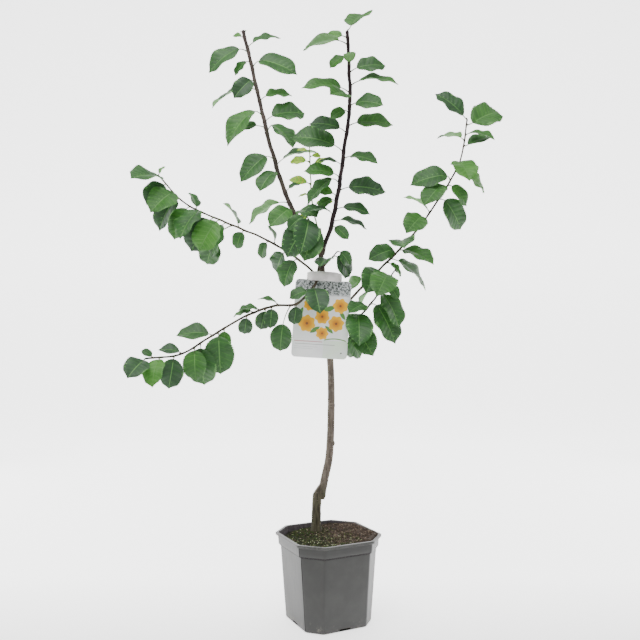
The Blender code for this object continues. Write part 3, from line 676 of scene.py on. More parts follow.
def smooth_path(knots, count):
    """Evenly spaced points on the smooth curve through the knots."""
    knots = [Vector(knot) for knot in knots]
    spans = [(after - before).length for before, after in zip(knots, knots[1:])]
    slopes = []
    for index in range(len(knots)):
        a, b = max(index - 1, 0), min(index + 1, len(spans))
        slopes.append((knots[b] - knots[a]) / sum(spans[a:b]))
    fine = []
    for index, span in enumerate(spans):
        for step in range(PATH_STEPS):
            t = step / PATH_STEPS
            fine.append(knots[index] * (2 * t ** 3 - 3 * t ** 2 + 1)
                        + knots[index + 1] * (3 * t ** 2 - 2 * t ** 3)
                        + slopes[index] * (span * (t ** 3 - 2 * t ** 2 + t))
                        + slopes[index + 1] * (span * (t ** 3 - t ** 2)))
    fine.append(knots[-1])
    reach = [0.0]
    for before, after in zip(fine, fine[1:]):
        reach.append(reach[-1] + (after - before).length)
    points, spot = [], 0
    for index in range(count):
        goal = reach[-1] * index / (count - 1)
        while spot < len(fine) - 2 and reach[spot + 1] < goal:
            spot += 1
        share = (goal - reach[spot]) / (reach[spot + 1] - reach[spot])
        points.append(fine[spot].lerp(fine[spot + 1], min(share, 1.0)))
    return points


def path_length(path):
    return sum((after - before).length for before, after in zip(path, path[1:]))


def spot_at(path, at):
    """Point at a share of an evenly spaced path."""
    place = min(max(at, 0.0), 1.0) * (len(path) - 1)
    index = min(int(place), len(path) - 2)
    return path[index].lerp(path[index + 1], place - index)


def along(path, at):
    """Point and direction at a share of an evenly spaced path."""
    ahead, behind = spot_at(path, at + AXIS_REACH), spot_at(path, at - AXIS_REACH)
    return spot_at(path, at), (ahead - behind).normalized()


def shoot_radius(shoot, share):
    foot, tip = shoot["radii"]
    return foot + (tip - foot) * share ** TAPER


def tube(points, radii, sides):
    """Points and faces of a closed round tube whose sides don't twist along it."""
    rings = []
    across = None
    for index, (point, radius) in enumerate(zip(points, radii)):
        before, after = points[max(index - 1, 0)], points[min(index + 1, len(points) - 1)]
        axis = (after - before).normalized()
        across = axis.orthogonal() if across is None else across - axis * across.dot(axis)
        across.normalize()
        over = axis.cross(across)
        rings.append([point + (across * math.cos(a) + over * math.sin(a)) * radius
                      for a in (2 * math.pi * side / sides for side in range(sides))])
    return loft(rings)


def points_and_faces(mesh):
    return [vert.co.copy() for vert in mesh.vertices], [tuple(face.vertices) for face in mesh.polygons]


def fused(name, solids, voxel):
    """Fuse overlapping solids into one skin of even small faces."""
    piece = gather(name, solids)
    skin = piece.modifiers.new("skin", "REMESH")
    skin.mode = "VOXEL"
    skin.voxel_size = voxel
    return fixed(piece)


for shoot in SHOOTS.values():
    shoot["path"] = smooth_path(shoot["knots"], PATH_STEPS + 1)

stock_path = smooth_path(STOCK_KNOTS, STOCK_SECTIONS)
stock_radii = []
for point in stock_path:
    flare = min(1.0, max(0.0, (SOIL_LEVEL + FLARE_HEIGHT - point.z) / FLARE_HEIGHT)) ** 2
    stock_radii.append(STOCK_RADIUS + (FLARE_RADIUS - STOCK_RADIUS) * flare)
stock = gather("rootstock", [tube(stock_path, stock_radii, 24)])
cut_box(stock, (TRIM_BOX,) * 3, Matrix.Translation(GRAFT_POINT) @ Matrix.Rotation(-GRAFT_SLOPE, 4, "Y")
        @ Matrix.Translation((0.0, 0.0, TRIM_BOX / 2)))
cut_box(stock, (TRIM_BOX,) * 3, Matrix.Translation((*TRUNK_FOOT, SOIL_LEVEL + GAP - TRIM_BOX / 2)))
solids = [points_and_faces(stock.data)]
bpy.data.objects.remove(stock, do_unlink=True)

scion_path = smooth_path(SCION_KNOTS, SCION_SECTIONS)
low, high = SCION_RADII
scion_radii = [low + (high - low) * index / (SCION_SECTIONS - 1) for index in range(SCION_SECTIONS)]
solids.append(tube(scion_path, scion_radii, 20))
for middle, radius in SWELLINGS:
    rings = []
    for step in range(1, SWELLING_ROWS):
        down = math.pi * step / SWELLING_ROWS
        ring = []
        for side in range(SWELLING_SIDES):
            round_it = 2 * math.pi * side / SWELLING_SIDES
            way = Vector((math.sin(down) * math.cos(round_it), math.sin(down) * math.sin(round_it),
                          SWELLING_STRETCH * math.cos(down)))
            ring.append(Vector(middle) + radius * way)
        rings.append(ring)
    solids.append(loft(rings))
for shoot in SHOOTS.values():
    long = path_length(shoot["path"])
    shares = [COLLAR_LENGTH / long * step / COLLAR_STEPS for step in range(COLLAR_STEPS + 1)]
    radii = [shoot_radius(shoot, share) * (COLLAR_SWELL - (COLLAR_SWELL - 0.9) * step / COLLAR_STEPS)
             for step, share in enumerate(shares)]
    solids.append(tube([spot_at(shoot["path"], share) for share in shares], radii, 12))
trunk = fused("trunk_and_graft", solids, BARK_VOXEL)
for vert, normal in zip(trunk.data.vertices, [vert.normal.copy() for vert in trunk.data.vertices]):
    spot = vert.co
    old = 1.0 if spot.z < OLD_BARK_TOP else YOUNG_BARK
    furrow = noise.fractal(Vector((spot.x * 420, spot.y * 420, spot.z * 60)), 1.0, 2.0, 3)
    pore = max(0.0, noise.noise(Vector((spot.x * 110, spot.y * 110, spot.z * 420))) - 0.32) * 2.2
    knobs = noise.noise(spot * 70.0)
    fade = min(1.0, max(0.0, (spot.z - SOIL_LEVEL) / 0.004))
    rise = FURROW_DEPTH * old * furrow + PORE_DEPTH * pore + KNOB_DEPTH * old * knobs
    vert.co = spot + normal * fade * rise
trunk.data.shade_smooth()

bark = Finish("trunk_bark", {"Specular IOR Level": 0.3})
height = bark.own("z")
furrows = bark.grain(0.005, 5.0, 0.65, (1.0, 1.0, 0.16))
pores = bark.grain(0.0045, 3.0, 0.6, (0.35, 0.35, 1.6)).step(0.60, 0.68)
lichen = bark.grain(0.016, 5.0, 0.7).step(0.55, 0.70)
stock_brown = bark.mix(furrows.step(0.35, 0.65), (0.030, 0.026, 0.015), (0.082, 0.074, 0.044))
stock_brown = bark.mix(lichen * 0.50, stock_brown, (0.085, 0.100, 0.045))
scion_grey = bark.mix(furrows.step(0.35, 0.68), (0.062, 0.048, 0.037), (0.140, 0.114, 0.092))
scion_grey = bark.mix(lichen * 0.35, scion_grey, (0.195, 0.182, 0.152))
scion_top = bark.mix(furrows.step(0.35, 0.68), (0.040, 0.026, 0.022), (0.090, 0.062, 0.052))
colour = bark.mix(height.step(0.275, 0.335), stock_brown, scion_grey)
colour = bark.mix(height.step(0.70, 0.88), colour, scion_top)
colour = bark.mix(pores * 0.55, colour, (0.26, 0.22, 0.18))
bark.coat({"Base Color": colour, "Roughness": 0.62 + furrows * 0.25,
           "Normal": bark.relief(furrows + pores * 0.4, 0.0006)})
dress(trunk, [bark.material], "trunk_bark", "trunk")


# Leaders, boughs and twigs: smooth young wood. Each is one limb from inside the trunk to its last
# leaf, a little kinked and swollen at every leaf, with a bud in the leaf's axil. The right leader
# is nearly black, the left one greyer, the side boughs and spurs olive brown, the centre shoot green.
FIRST_LEAF = 0.02
LAST_LEAF = 0.995
LIMB_SIDES = 10
RINGS_PER_LEAF = 5
NODE_SWELL = 0.16
KINKS = 17.0                   # bends along a limb
DRIFT_ROWS = (0.5, 10.5, 20.5) # three rows of the noise that bends it
BUD_LENGTH = 0.0042
BUD_RADIUS = 0.0013
BUD_SEEDS = 100


def read_plan(plan):
    """Step, place on the leafy stretch, hour, size and poise of each leaf, from the foot to the tip."""
    words = plan.split()
    for step, word in enumerate(words):
        if word != ".":
            share = FIRST_LEAF + (LAST_LEAF - FIRST_LEAF) * step / (len(words) - 1)
            body = word.rstrip("+-=_")
            yield step, share, int(body[:-1]), body[-1], word[len(body):]


def outward(shoot, at, hour):
    """Where a clock hour points, square to the shoot."""
    axis = along(shoot["path"], at)[1]
    noon = (shoot["noon"] - axis * shoot["noon"].dot(axis)).normalized()
    angle = math.radians(30 * hour)
    return noon * math.cos(angle) + noon.cross(axis) * math.sin(angle)


def limb(name, shoot, draw):
    """One shoot's wood with its knots and buds: the limb's points and faces, then each bud's."""
    leaves = list(read_plan(shoot["plan"]))
    steps = shoot["plan"].split()
    spots = [shoot["bare"] + (1 - shoot["bare"]) * share for _, share, *_ in leaves]
    count = RINGS_PER_LEAF * (len(steps) + 4)
    points, radii = [], []
    for index in range(count + 1):
        at = index / count
        swell = max(math.exp(-((at - spot) * len(steps) * 3.0) ** 2) for spot in spots)
        radius = shoot_radius(shoot, at)
        drift = Vector([noise.noise(Vector((at * KINKS, shoot["seed"] * 3.7, row))) for row in DRIFT_ROWS])
        points.append(spot_at(shoot["path"], at) + drift * (radius * 0.5 * min(1.0, at * 12)))
        radii.append(radius * (1 + NODE_SWELL * swell) * (0.75 if index == count else 1.0))
    solids = [tube(points, radii, LIMB_SIDES)]
    for spot, (_, _, hour, size, _) in zip(spots, leaves):
        out = outward(shoot, spot, hour)
        middle, axis = along(shoot["path"], spot)
        lean = (axis + out * 0.75).normalized()
        grow = draw.uniform(0.7, 1.15) * (0.6 if size == "T" else 1.0)
        foot = middle + axis * 0.0022 + out * shoot_radius(shoot, spot) * 0.5
        bud = [foot + lean * BUD_LENGTH * grow * share for share in (0.0, 0.3, 0.6, 0.85, 1.0)]
        solids.append(tube(bud, [BUD_RADIUS * grow * width for width in (0.8, 1.0, 0.85, 0.5, 0.12)], 6))
    return solids


def young_wood(name, dark, light, gloss):
    """Smooth thin bark with pale pores."""
    look = Finish(name, {"Specular IOR Level": 0.15})
    cloud = look.grain(0.02, 4.0, 0.6)
    pore = look.grain(0.0022, 2.0, 0.5).step(0.62, 0.70)
    colour = look.mix(cloud.step(0.35, 0.65), dark, light)
    colour = look.mix(pore * 0.3, colour, tuple(1.8 * part + 0.03 for part in light))
    return look.coat({"Base Color": colour, "Roughness": gloss + cloud * 0.2,
                      "Normal": look.relief(pore, 0.0002)})


wood_looks = {
    "leader_bark": young_wood("leader_bark", (0.012, 0.006, 0.008), (0.030, 0.017, 0.019), 0.38),
    "grey_leader_bark": young_wood("grey_leader_bark", (0.028, 0.019, 0.017), (0.072, 0.053, 0.047), 0.45),
    "bough_bark": young_wood("bough_bark", (0.028, 0.021, 0.015), (0.072, 0.060, 0.040), 0.50),
    "green_shoot": young_wood("green_shoot", (0.10, 0.16, 0.045), (0.20, 0.27, 0.09), 0.45),
}
bud_looks = {
    "leader_bark": speckled("bud_dark", (0.030, 0.016, 0.014), (0.085, 0.045, 0.030), 0.5),
    "bough_bark": speckled("bud_brown", (0.060, 0.035, 0.020), (0.130, 0.080, 0.045), 0.5),
    "green_shoot": speckled("bud_green", (0.12, 0.14, 0.04), (0.24, 0.22, 0.08), 0.5),
}
for name, shoot in SHOOTS.items():
    wood = "leader_bark" if name.endswith("leader") else "green_shoot" if "shoot" in name else "bough_bark"
    solids = limb(name, shoot, random.Random(shoot["seed"] + BUD_SEEDS))
    piece = gather(name + "_wood", solids)
    nodes = ([name] if shoot["bough"] else []) + [name + "_leaves"]
    look = wood_looks["grey_leader_bark" if name == "left_leader" else wood]
    dress(piece, [look, bud_looks[wood]], "leaf_green" if not shoot["bough"] else wood, *nodes)
    first_bud = len(solids[0][1])
    for face in piece.data.polygons[first_bud:]:
        face.material_index = 1


# Foliage: every leaf stands where the plant's rule puts it: in seeded order up each shoot, turned
# round it or left out where it would touch something. A blade has a toothed edge, a sunk midrib and
# forward-swept veins with the blade quilted between them, and hangs on a slim bent stalk.
BLADE_LENGTH = {"T": 0.026, "S": 0.046, "M": 0.071, "L": 0.094, "X": 0.113}
DROOP = {"": 0.35, "-": 1.00, "+": -0.20, "=": 0.45, "_": 1.40}
LENGTH_SLACK = 0.07
DROOP_SLACK = 0.20
HOUR_SLACK = 9.0
ROLL_SLACK = 22.0
SEED_STRIDE = 100
STALK_LEAN = math.radians(58)
STALK_RADIUS = 0.0011          # of a stalk's rough shape
LIGHT = Vector((0.0, -1.0, 0.85))
EDGE_ON = BACK                 # the way the edges of the "=" blades point
EDGE_SHOW = 0.20               # how far they turn back to the light
BLADE_STATIONS = (0.14, 0.34, 0.56, 0.76, 0.91)
BLADE_FORE = 0.60
BLADE_AFT = 0.72
BLADE_HALF_THICK = 0.0009
BLADE_FOLD = 0.20
BLADE_ARCH = 0.70
LEAF_CLEAR = 0.0008
LONG_STALK = 7.0               # how much longer the stalk of a "_" leaf is
TURN_TRIES = (0, 20, -20, 40, -40, 60, -60)
STEM_STEP = 0.030              # between the sections of a stem's rough shape
VEIN_PAIRS = {"T": 4, "S": 5, "M": 7, "L": 8, "X": 9}
ROW_SHARES = (0.06, 0.35, 0.65, 0.94)       # rows of points from one vein to the next
COLUMNS = (0.038, 0.35, 0.70)  # columns of points in a half blade, inside its edge
VEIN_SWEEP = 0.17              # how far a vein's end is ahead of its foot, of the blade's length
TOOTH = 0.085                  # height of a tooth, of the half width
TIP_FROM = 0.84                # where the blade draws in to its narrow tip
TIP_DRAW = 0.65
SHEET = 0.00022                # half thickness of a blade
GROOVE = 0.0003                # depth of the midrib's groove, and height of the rib below
RIB = 0.0009
QUILT = 0.018                  # rise between the veins, of the blade's length
RIPPLE = 0.12                  # of an edge, of the half width
RIPPLES = (1.2, 2.6)           # along a blade
TWIST = math.radians(14)
SWAY = 0.035                   # sideways bend of a blade, of its length
STALK_WIDTH = 0.00135          # half width of a stalk in its middle
STALK_SWELL = 0.0006           # what its foot adds
STALK_TAPER = 0.0004
STALK_RINGS = 7
STALK_SIDES = 6
BLADE_SEEDS = 200
LEAF_TONES = ("deep", "dark", "mid", "bright", "pale")
TONE_SHARES = {                # how often a shoot's leaves are of each of the first four tones: the tone varies at random from leaf to leaf, and the spurs in the crown's heart lean to the deep ones as painted shade
    "left_leader": (0.20, 0.45, 0.30, 0.05), "right_leader": (0.15, 0.40, 0.35, 0.10),
    "upper_left_bough": (0.30, 0.45, 0.22, 0.03), "lower_left_bough": (0.32, 0.45, 0.20, 0.03),
    "right_bough": (0.10, 0.32, 0.38, 0.20), "low_right_bough": (0.25, 0.50, 0.22, 0.03),
    "fork_spur": (0.60, 0.40, 0.0, 0.0), "collar_spur": (0.60, 0.40, 0.0, 0.0),
    "label_spur": (0.30, 0.60, 0.10, 0.0),
}


def place_leaf(shoot, at, hour, size, poise, draws):
    """Where a leaf's stalk leaves the shoot and enters the blade, and how the blade points and faces."""
    foot, axis = along(shoot["path"], at)
    out = outward(shoot, at, hour + HOUR_SLACK / 30 * draws[0])
    stalk = (axis * math.cos(STALK_LEAN) + out * math.sin(STALK_LEAN)).normalized()
    length = BLADE_LENGTH[size] * (1 + LENGTH_SLACK * draws[1])
    way = (stalk - UP * DROOP[poise] * (1 + DROOP_SLACK * draws[2])).normalized()
    light = LIGHT
    if poise == "=":
        light = way.cross(EDGE_ON) * math.copysign(1.0, way.x) + LIGHT * EDGE_SHOW
    face = (light - way * light.dot(way)).normalized()
    face.rotate(Matrix.Rotation(math.radians(ROLL_SLACK * draws[3]), 3, way))
    reach = shoot["stalk"] * length * (LONG_STALK if poise == "_" else 1.0)
    root = foot + stalk * (shoot_radius(shoot, at) + reach)
    return dict(foot=foot, root=root, way=way, face=face, length=length, breadth=shoot["breadth"],
                size=size)


def blade_width(share):
    """Width of a blade at a share of its length, 1 at its widest."""
    widest = BLADE_FORE / (BLADE_FORE + BLADE_AFT)
    return (share / widest) ** BLADE_FORE * ((1 - share) / (1 - widest)) ** BLADE_AFT


def midrib(leaf, share):
    """Point of the arching midrib and the blade's facing there."""
    bend = BLADE_ARCH * share
    run = leaf["length"] / BLADE_ARCH
    ahead, down = run * math.sin(bend), run * (1 - math.cos(bend))
    point = leaf["root"] + leaf["way"] * ahead - leaf["face"] * down
    return point, leaf["face"] * math.cos(bend) + leaf["way"] * math.sin(bend)


def rough_leaf(leaf):
    """Rings and tip of a leaf's rough shape, with which it is tried for room."""
    side = leaf["way"].cross(leaf["face"])
    stalk = (leaf["root"] - leaf["foot"]).normalized()
    rings = []
    for middle, axis in ((leaf["foot"], stalk), (leaf["root"], (stalk + leaf["way"]).normalized())):
        face = side.cross(axis).normalized() * (STALK_RADIUS + LEAF_CLEAR)
        across = axis.cross(face)
        rings.append([middle + across, middle + face, middle - across, middle - face])
    for share in BLADE_STATIONS:
        middle, face = midrib(leaf, share)
        half = leaf["length"] * leaf["breadth"] / 2 * blade_width(share)
        lift = face * (half * BLADE_FOLD)
        thick = BLADE_HALF_THICK + LEAF_CLEAR
        rings.append([middle + side * half + lift, middle + face * thick,
                      middle - side * half + lift, middle - face * thick])
    return rings, midrib(leaf, 1.0)[0]


def tree_of(verts, faces):
    return BVHTree.FromPolygons([tuple(vert) for vert in verts], faces)


def stem_tree(shoot):
    """Search tree of the leafy stretch of a shoot."""
    start = shoot["bare"] if shoot["bough"] else 0.0
    count = max(2, round(path_length(shoot["path"]) * (1 - start) / STEM_STEP))
    shares = [start + (1 - start) * index / count for index in range(count + 1)]
    return tree_of(*tube([spot_at(shoot["path"], share) for share in shares],
                         [shoot_radius(shoot, share) for share in shares], 6))


def grown_leaves(name, room):
    """The leaves of a shoot that find room. Room lists each thing's owner and tree."""
    shoot = SHOOTS[name]
    leaves = []
    for step, share, hour, size, poise in read_plan(shoot["plan"]):
        at = shoot["bare"] + (1 - shoot["bare"]) * share
        draw = random.Random(shoot["seed"] * SEED_STRIDE + step)
        draws = [draw.uniform(-1, 1) for _ in range(4)]
        for turn in TURN_TRIES:
            leaf = place_leaf(shoot, at, hour + turn / 30, size, poise, draws)
            rings, tip = rough_leaf(leaf)
            whole = tree_of(*loft(rings, tip))
            blade = tree_of(*loft(rings[2:], tip))
            if not any((blade if owner == name else whole).overlap(tree) for owner, tree in room):
                room.append((None, whole))
                leaves.append(leaf)
                break
    return leaves


def blade_sheets(leaf, draw):
    """A blade's upper and lower sheets, which share their toothed edge: points, faces and looks."""
    pairs = VEIN_PAIRS[leaf["size"]]
    rows = [((pair + share) / pairs, math.sin(math.pi * share))
            for pair in range(pairs) for share in ROW_SHARES]
    side = leaf["way"].cross(leaf["face"])
    phase = [draw.uniform(0, 2 * math.pi) for _ in range(2)]
    waves = draw.uniform(*RIPPLES)
    twist = draw.uniform(-TWIST, TWIST)
    sway = draw.uniform(-SWAY, SWAY) * leaf["length"]

    def spot(share, across, level, quilt=0.0, reach=1.0):
        """A point of the blade, from -1 to 1 across it, some way above its middle sheet."""
        swept = share + VEIN_SWEEP * 4 * share * (1 - share) * abs(across)
        middle, face = midrib(leaf, swept)
        half = leaf["length"] * leaf["breadth"] / 2 * blade_width(swept)
        half *= min(1.0, (1 - swept) / (1 - TIP_FROM)) ** TIP_DRAW
        turn = twist * swept
        over = side * math.cos(turn) + face * math.sin(turn)
        face = face * math.cos(turn) - side * math.sin(turn)
        wave = RIPPLE * math.sin(2 * math.pi * waves * swept + phase[across > 0]) * across ** 2
        lift = half * (BLADE_FOLD * abs(across) * (1.35 - 0.35 * across ** 2) + wave)
        puff = QUILT * leaf["length"] * quilt * 4 * abs(across) * (1 - abs(across))
        return (middle + side * (sway * swept ** 2) + over * (half * across * reach)
                + face * (lift + puff + level))

    points = [leaf["root"], spot(1.0, 0.0, 0.0)]
    upper, lower = [], []
    for share, quilt in rows:
        rib = -RIB * (1 - 0.75 * share)
        levels = {COLUMNS[0]: (-GROOVE, rib), COLUMNS[1]: (SHEET, -SHEET), COLUMNS[2]: (SHEET, -SHEET)}
        across = [-1.0] + [-column for column in reversed(COLUMNS)] + list(COLUMNS) + [1.0]
        tops, bottoms = [], []
        for column in across:
            top, bottom = levels.get(abs(column), (0.0, None))
            points.append(spot(share, column, top, quilt))
            tops.append(len(points) - 1)
            if bottom is not None:
                points.append(spot(share, column, bottom, quilt))
            bottoms.append(len(points) - 1)
        upper.append(tops)
        lower.append(bottoms)
    teeth = []
    for (here, _), (ahead, _) in zip(rows, rows[1:]):
        pair = []
        for column in (-1.0, 1.0):
            points.append(spot(here + (ahead - here) * 0.75, column, 0.0, 0.0, 1 + TOOTH))
            pair.append(len(points) - 1)
        teeth.append(pair)

    faces, looks = [], []
    last = len(COLUMNS) * 2
    for sheet, flip in ((upper, 1), (lower, -1)):
        for column in range(last + 1):
            rib = column == last // 2
            for row in range(len(rows) - 1):
                a, b = sheet[row][column], sheet[row][column + 1]
                c, d = sheet[row + 1][column + 1], sheet[row + 1][column]
                corners = [a, b, c, d]
                if column == 0:
                    corners = [a, b, c, d, teeth[row][0]]
                elif column == last:
                    corners = [a, b, teeth[row][1], c, d]
                faces.append(tuple(corners[::flip]))
                looks.append("rib" if rib else "vein" if row % len(ROW_SHARES) == 3 else "blade")
            faces.append((0, sheet[0][column + 1], sheet[0][column])[::flip])
            faces.append((1, sheet[-1][column], sheet[-1][column + 1])[::flip])
            looks += ["rib" if rib else "blade"] * 2
        if flip == 1:
            upper_count = len(faces)
    looks[upper_count:] = ["under_" + look for look in looks[upper_count:]]
    return points, faces, looks


def leaf_stalk(leaf):
    """A stalk that bends from its shoot into the blade's midrib, swollen at its foot."""
    foot, root = leaf["foot"], leaf["root"]
    elbow = root - leaf["way"] * ((root - foot).length * 0.45)
    into = root + leaf["way"] * leaf["length"] * 0.10 - leaf["face"] * RIB * 0.5
    points, radii = [], []
    for index in range(STALK_RINGS):
        t = index / (STALK_RINGS - 1)
        points.append(foot * (1 - t) ** 2 + elbow * (2 * t * (1 - t)) + into * t ** 2)
        radii.append(STALK_WIDTH + STALK_SWELL * (1 - t) ** 4 - STALK_TAPER * t)
    return tube(points, radii, STALK_SIDES)


def leaf_look(name, dark, light, rough, bump=0.0005):
    """A leaf surface: cloudy from leaf to leaf, finely netted, with a soft sheen."""
    look = Finish(name, {"Specular IOR Level": 0.45})
    cloud = look.grain(0.045, 3.0, 0.55)
    net = look.grain(0.0016, 3.0, 0.6)
    colour = look.mix((cloud * 0.8 + net * 0.2).step(0.38, 0.62), dark, light)
    return look.coat({"Base Color": colour, "Roughness": rough + net * 0.16,
                      "Normal": look.relief(net, bump)})


leaf_looks = {
    "deep": leaf_look("leaf_deep", (0.010, 0.048, 0.011), (0.016, 0.070, 0.015), 0.42),
    "dark": leaf_look("leaf_dark", (0.015, 0.069, 0.011), (0.024, 0.103, 0.015), 0.42),
    "mid": leaf_look("leaf_mid", (0.024, 0.100, 0.012), (0.037, 0.143, 0.017), 0.42),
    "bright": leaf_look("leaf_bright", (0.040, 0.152, 0.016), (0.062, 0.212, 0.024), 0.45),
    "pale": leaf_look("leaf_pale", (0.068, 0.205, 0.030), (0.100, 0.270, 0.045), 0.48),
    "under": leaf_look("leaf_underside", (0.075, 0.200, 0.050), (0.115, 0.270, 0.075), 0.65, 0.0003),
    "rib": leaf_look("leaf_rib", (0.070, 0.190, 0.042), (0.105, 0.255, 0.060), 0.55, 0.0002),
    "stalk": leaf_look("leaf_stalk", (0.034, 0.066, 0.020), (0.060, 0.090, 0.030), 0.55, 0.0002),
    "young": leaf_look("young_leaf", (0.190, 0.400, 0.022), (0.300, 0.520, 0.040), 0.42),
    "blush": leaf_look("young_leaf_tip", (0.560, 0.300, 0.050), (0.640, 0.450, 0.090), 0.42),
}

solid_nodes = ["trunk", "label_card", "label_strap", "pot"]
solid_nodes += [name for name, shoot in SHOOTS.items() if shoot["bough"]]
room = [(None, tree_of(*points_and_faces(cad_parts[node].data))) for node in solid_nodes]
room += [(name, stem_tree(shoot)) for name, shoot in SHOOTS.items()]
look_numbers = {kind: number for number, kind in enumerate(leaf_looks)}
for name, shoot in SHOOTS.items():
    draw = random.Random(shoot["seed"] + BLADE_SEEDS)
    solids, looks = [], []
    leaves = grown_leaves(name, room)
    for index, leaf in enumerate(leaves):
        if name in TONE_SHARES:
            # the deep tones of the heart's spurs are painted shade
            tone = draw.choices(LEAF_TONES[:4], TONE_SHARES[name])[0]
            paler = LEAF_TONES[LEAF_TONES.index(tone) + 1]
        else:
            tone, paler = ("blush", "young") if index >= len(leaves) - 2 else ("young", "blush")
        wear = {"blade": tone, "vein": paler, "under_blade": "under", "under_vein": "rib", "under_rib": "rib"}
        points, faces, kinds = blade_sheets(leaf, draw)
        stalk = leaf_stalk(leaf)
        solids += [(points, faces), stalk]
        looks += [wear.get(kind, kind) for kind in kinds] + ["stalk"] * len(stalk[1])
    piece = gather(name + "_blades", solids)
    piece.data.set_sharp_from_angle(angle=math.radians(70))
    slot = "leaf_green" if name in TONE_SHARES else "young_leaf_green"
    dress(piece, list(leaf_looks.values()), slot, name + "_leaves")
    for face, look in zip(piece.data.polygons, looks):
        face.material_index = look_numbers[look]


# Label card: a thin plastic card with round corners that bows back a little at its sides. It is
# printed with a mottled band, yellow and orange blossoms with leaves, plain bars and a dot.
CARD_WIDTH = 0.134
CARD_HEIGHT = 0.187
CARD_THICK = 0.0012
CARD_ROUND = 0.010
CARD_EDGE = 0.0003
CARD_MIDDLE = (-0.0165, 0.0130, 0.7120)
CARD_TILT = math.radians(3.6)
CARD_BOW = 0.0012
CARD_COLUMNS = 16
CARD_FRAME = Matrix.Translation(CARD_MIDDLE) @ Matrix.Rotation(CARD_TILT, 4, "Y")
BAND_DROP = 0.040              # height of the mottled band below the card's top edge
BLOSSOMS = (                   # middle across and up, reach of the petals, turn
    (-0.034, -0.012, 0.0215, 0.3), (0.002, 0.006, 0.0185, 1.1), (0.036, -0.009, 0.0200, 0.7),
    (0.004, -0.034, 0.0160, 0.0), (0.044, 0.034, 0.0190, 0.5), (-0.030, 0.033, 0.0150, 0.9),
)
PRINTED_LEAVES = (             # middle across and up, half length, half width, turn
    (-0.014, -0.026, 0.015, 0.0055, 0.6), (0.020, -0.024, 0.014, 0.0050, -0.7),
    (0.018, 0.026, 0.017, 0.0065, 0.4), (-0.050, 0.014, 0.014, 0.0050, 1.2),
    (0.050, 0.012, 0.013, 0.0050, -1.0),
)
BARS = (                       # left end, right end, middle height, half height, and 1 for red
    (-0.062, 0.006, -0.0545, 0.0011, 1), (-0.060, 0.036, -0.0610, 0.0008, 0),
    (-0.062, -0.004, -0.0675, 0.0005, 0), (-0.062, -0.016, -0.0720, 0.0005, 0),
)
STROKE_ENDS = (0.010, 0.062)   # a curved green stroke
STROKE_TOP = (0.036, -0.0455)
STROKE_CURVE = 6.0
STROKE_HALF = 0.0016
INK_EDGE = 0.0006
PETAL_DEEP = (0.56, 0.190, 0.006)
PETAL_LIGHT = (0.80, 0.410, 0.006)
PETAL_EYE = (0.16, 0.07, 0.02)
LEAF_INK = (0.085, 0.220, 0.050)
STROKE_INK = (0.10, 0.25, 0.03)
RED_INK = (0.40, 0.05, 0.05)
GREY_INK = (0.12, 0.14, 0.12)
DOT_INK = (0.03, 0.035, 0.03)
DOT_AT = (0.0520, -0.0790)
DOT_RADIUS = 0.0021

outline = []
for sx, sz in ((1, 1), (-1, 1), (-1, -1), (1, -1)):
    middle = Vector((sx * (CARD_WIDTH / 2 - CARD_ROUND), sz * (CARD_HEIGHT / 2 - CARD_ROUND)))
    for step in range(9):
        angle = math.atan2(sz, sx) - math.pi / 4 + math.pi / 2 * step / 8
        outline.append(middle + CARD_ROUND * Vector((math.cos(angle), math.sin(angle))))
form = bmesh.new()
form.faces.new([form.verts.new((point.x, 0.0, point.y)) for point in outline])
for index in range(1, CARD_COLUMNS):
    x = CARD_WIDTH * (index / CARD_COLUMNS - 0.5)
    bmesh.ops.bisect_plane(form, geom=form.verts[:] + form.edges[:] + form.faces[:],
                           plane_co=(x, 0.0, 0.0), plane_no=(1.0, 0.0, 0.0))
for vert in form.verts:
    vert.co.y = CARD_BOW * (2 * vert.co.x / CARD_WIDTH) ** 2
card_mesh = bpy.data.meshes.new("label_card_sheet")
form.to_mesh(card_mesh)
form.free()
card = placed("label_card_sheet", card_mesh)
body = card.modifiers.new("body", "SOLIDIFY")
body.thickness = CARD_THICK
body.offset = 0.0
rim = card.modifiers.new("rim", "BEVEL")
rim.width = CARD_EDGE
rim.segments = 2
rim.angle_limit = math.radians(60)
fixed(card)
card.matrix_world = CARD_FRAME
card.data.shade_smooth()
card.data.set_sharp_from_angle(angle=math.radians(40))

card_print = Finish("label_card_print", {"Roughness": 0.32, "Specular IOR Level": 0.5})
across, up = card_print.own("x"), card_print.own("z")
behind = card_print.own("y") - (across * (2 / CARD_WIDTH)) ** 2.0 * CARD_BOW


def inside(edge_distance):
    """Mask of an inked shape from the distance to its edge, above 0 inside it."""
    return edge_distance.step(0.0, INK_EDGE)


def printed_box(left, right, low, high):
    """Mask of a box on the card."""
    return inside(across - left) * inside(right - across) * inside(up - low) * inside(high - up)


def distance(x, z):
    """How far each place on the card is from a point of it."""
    return ((across - x) ** 2.0 + (up - z) ** 2.0) ** 0.5


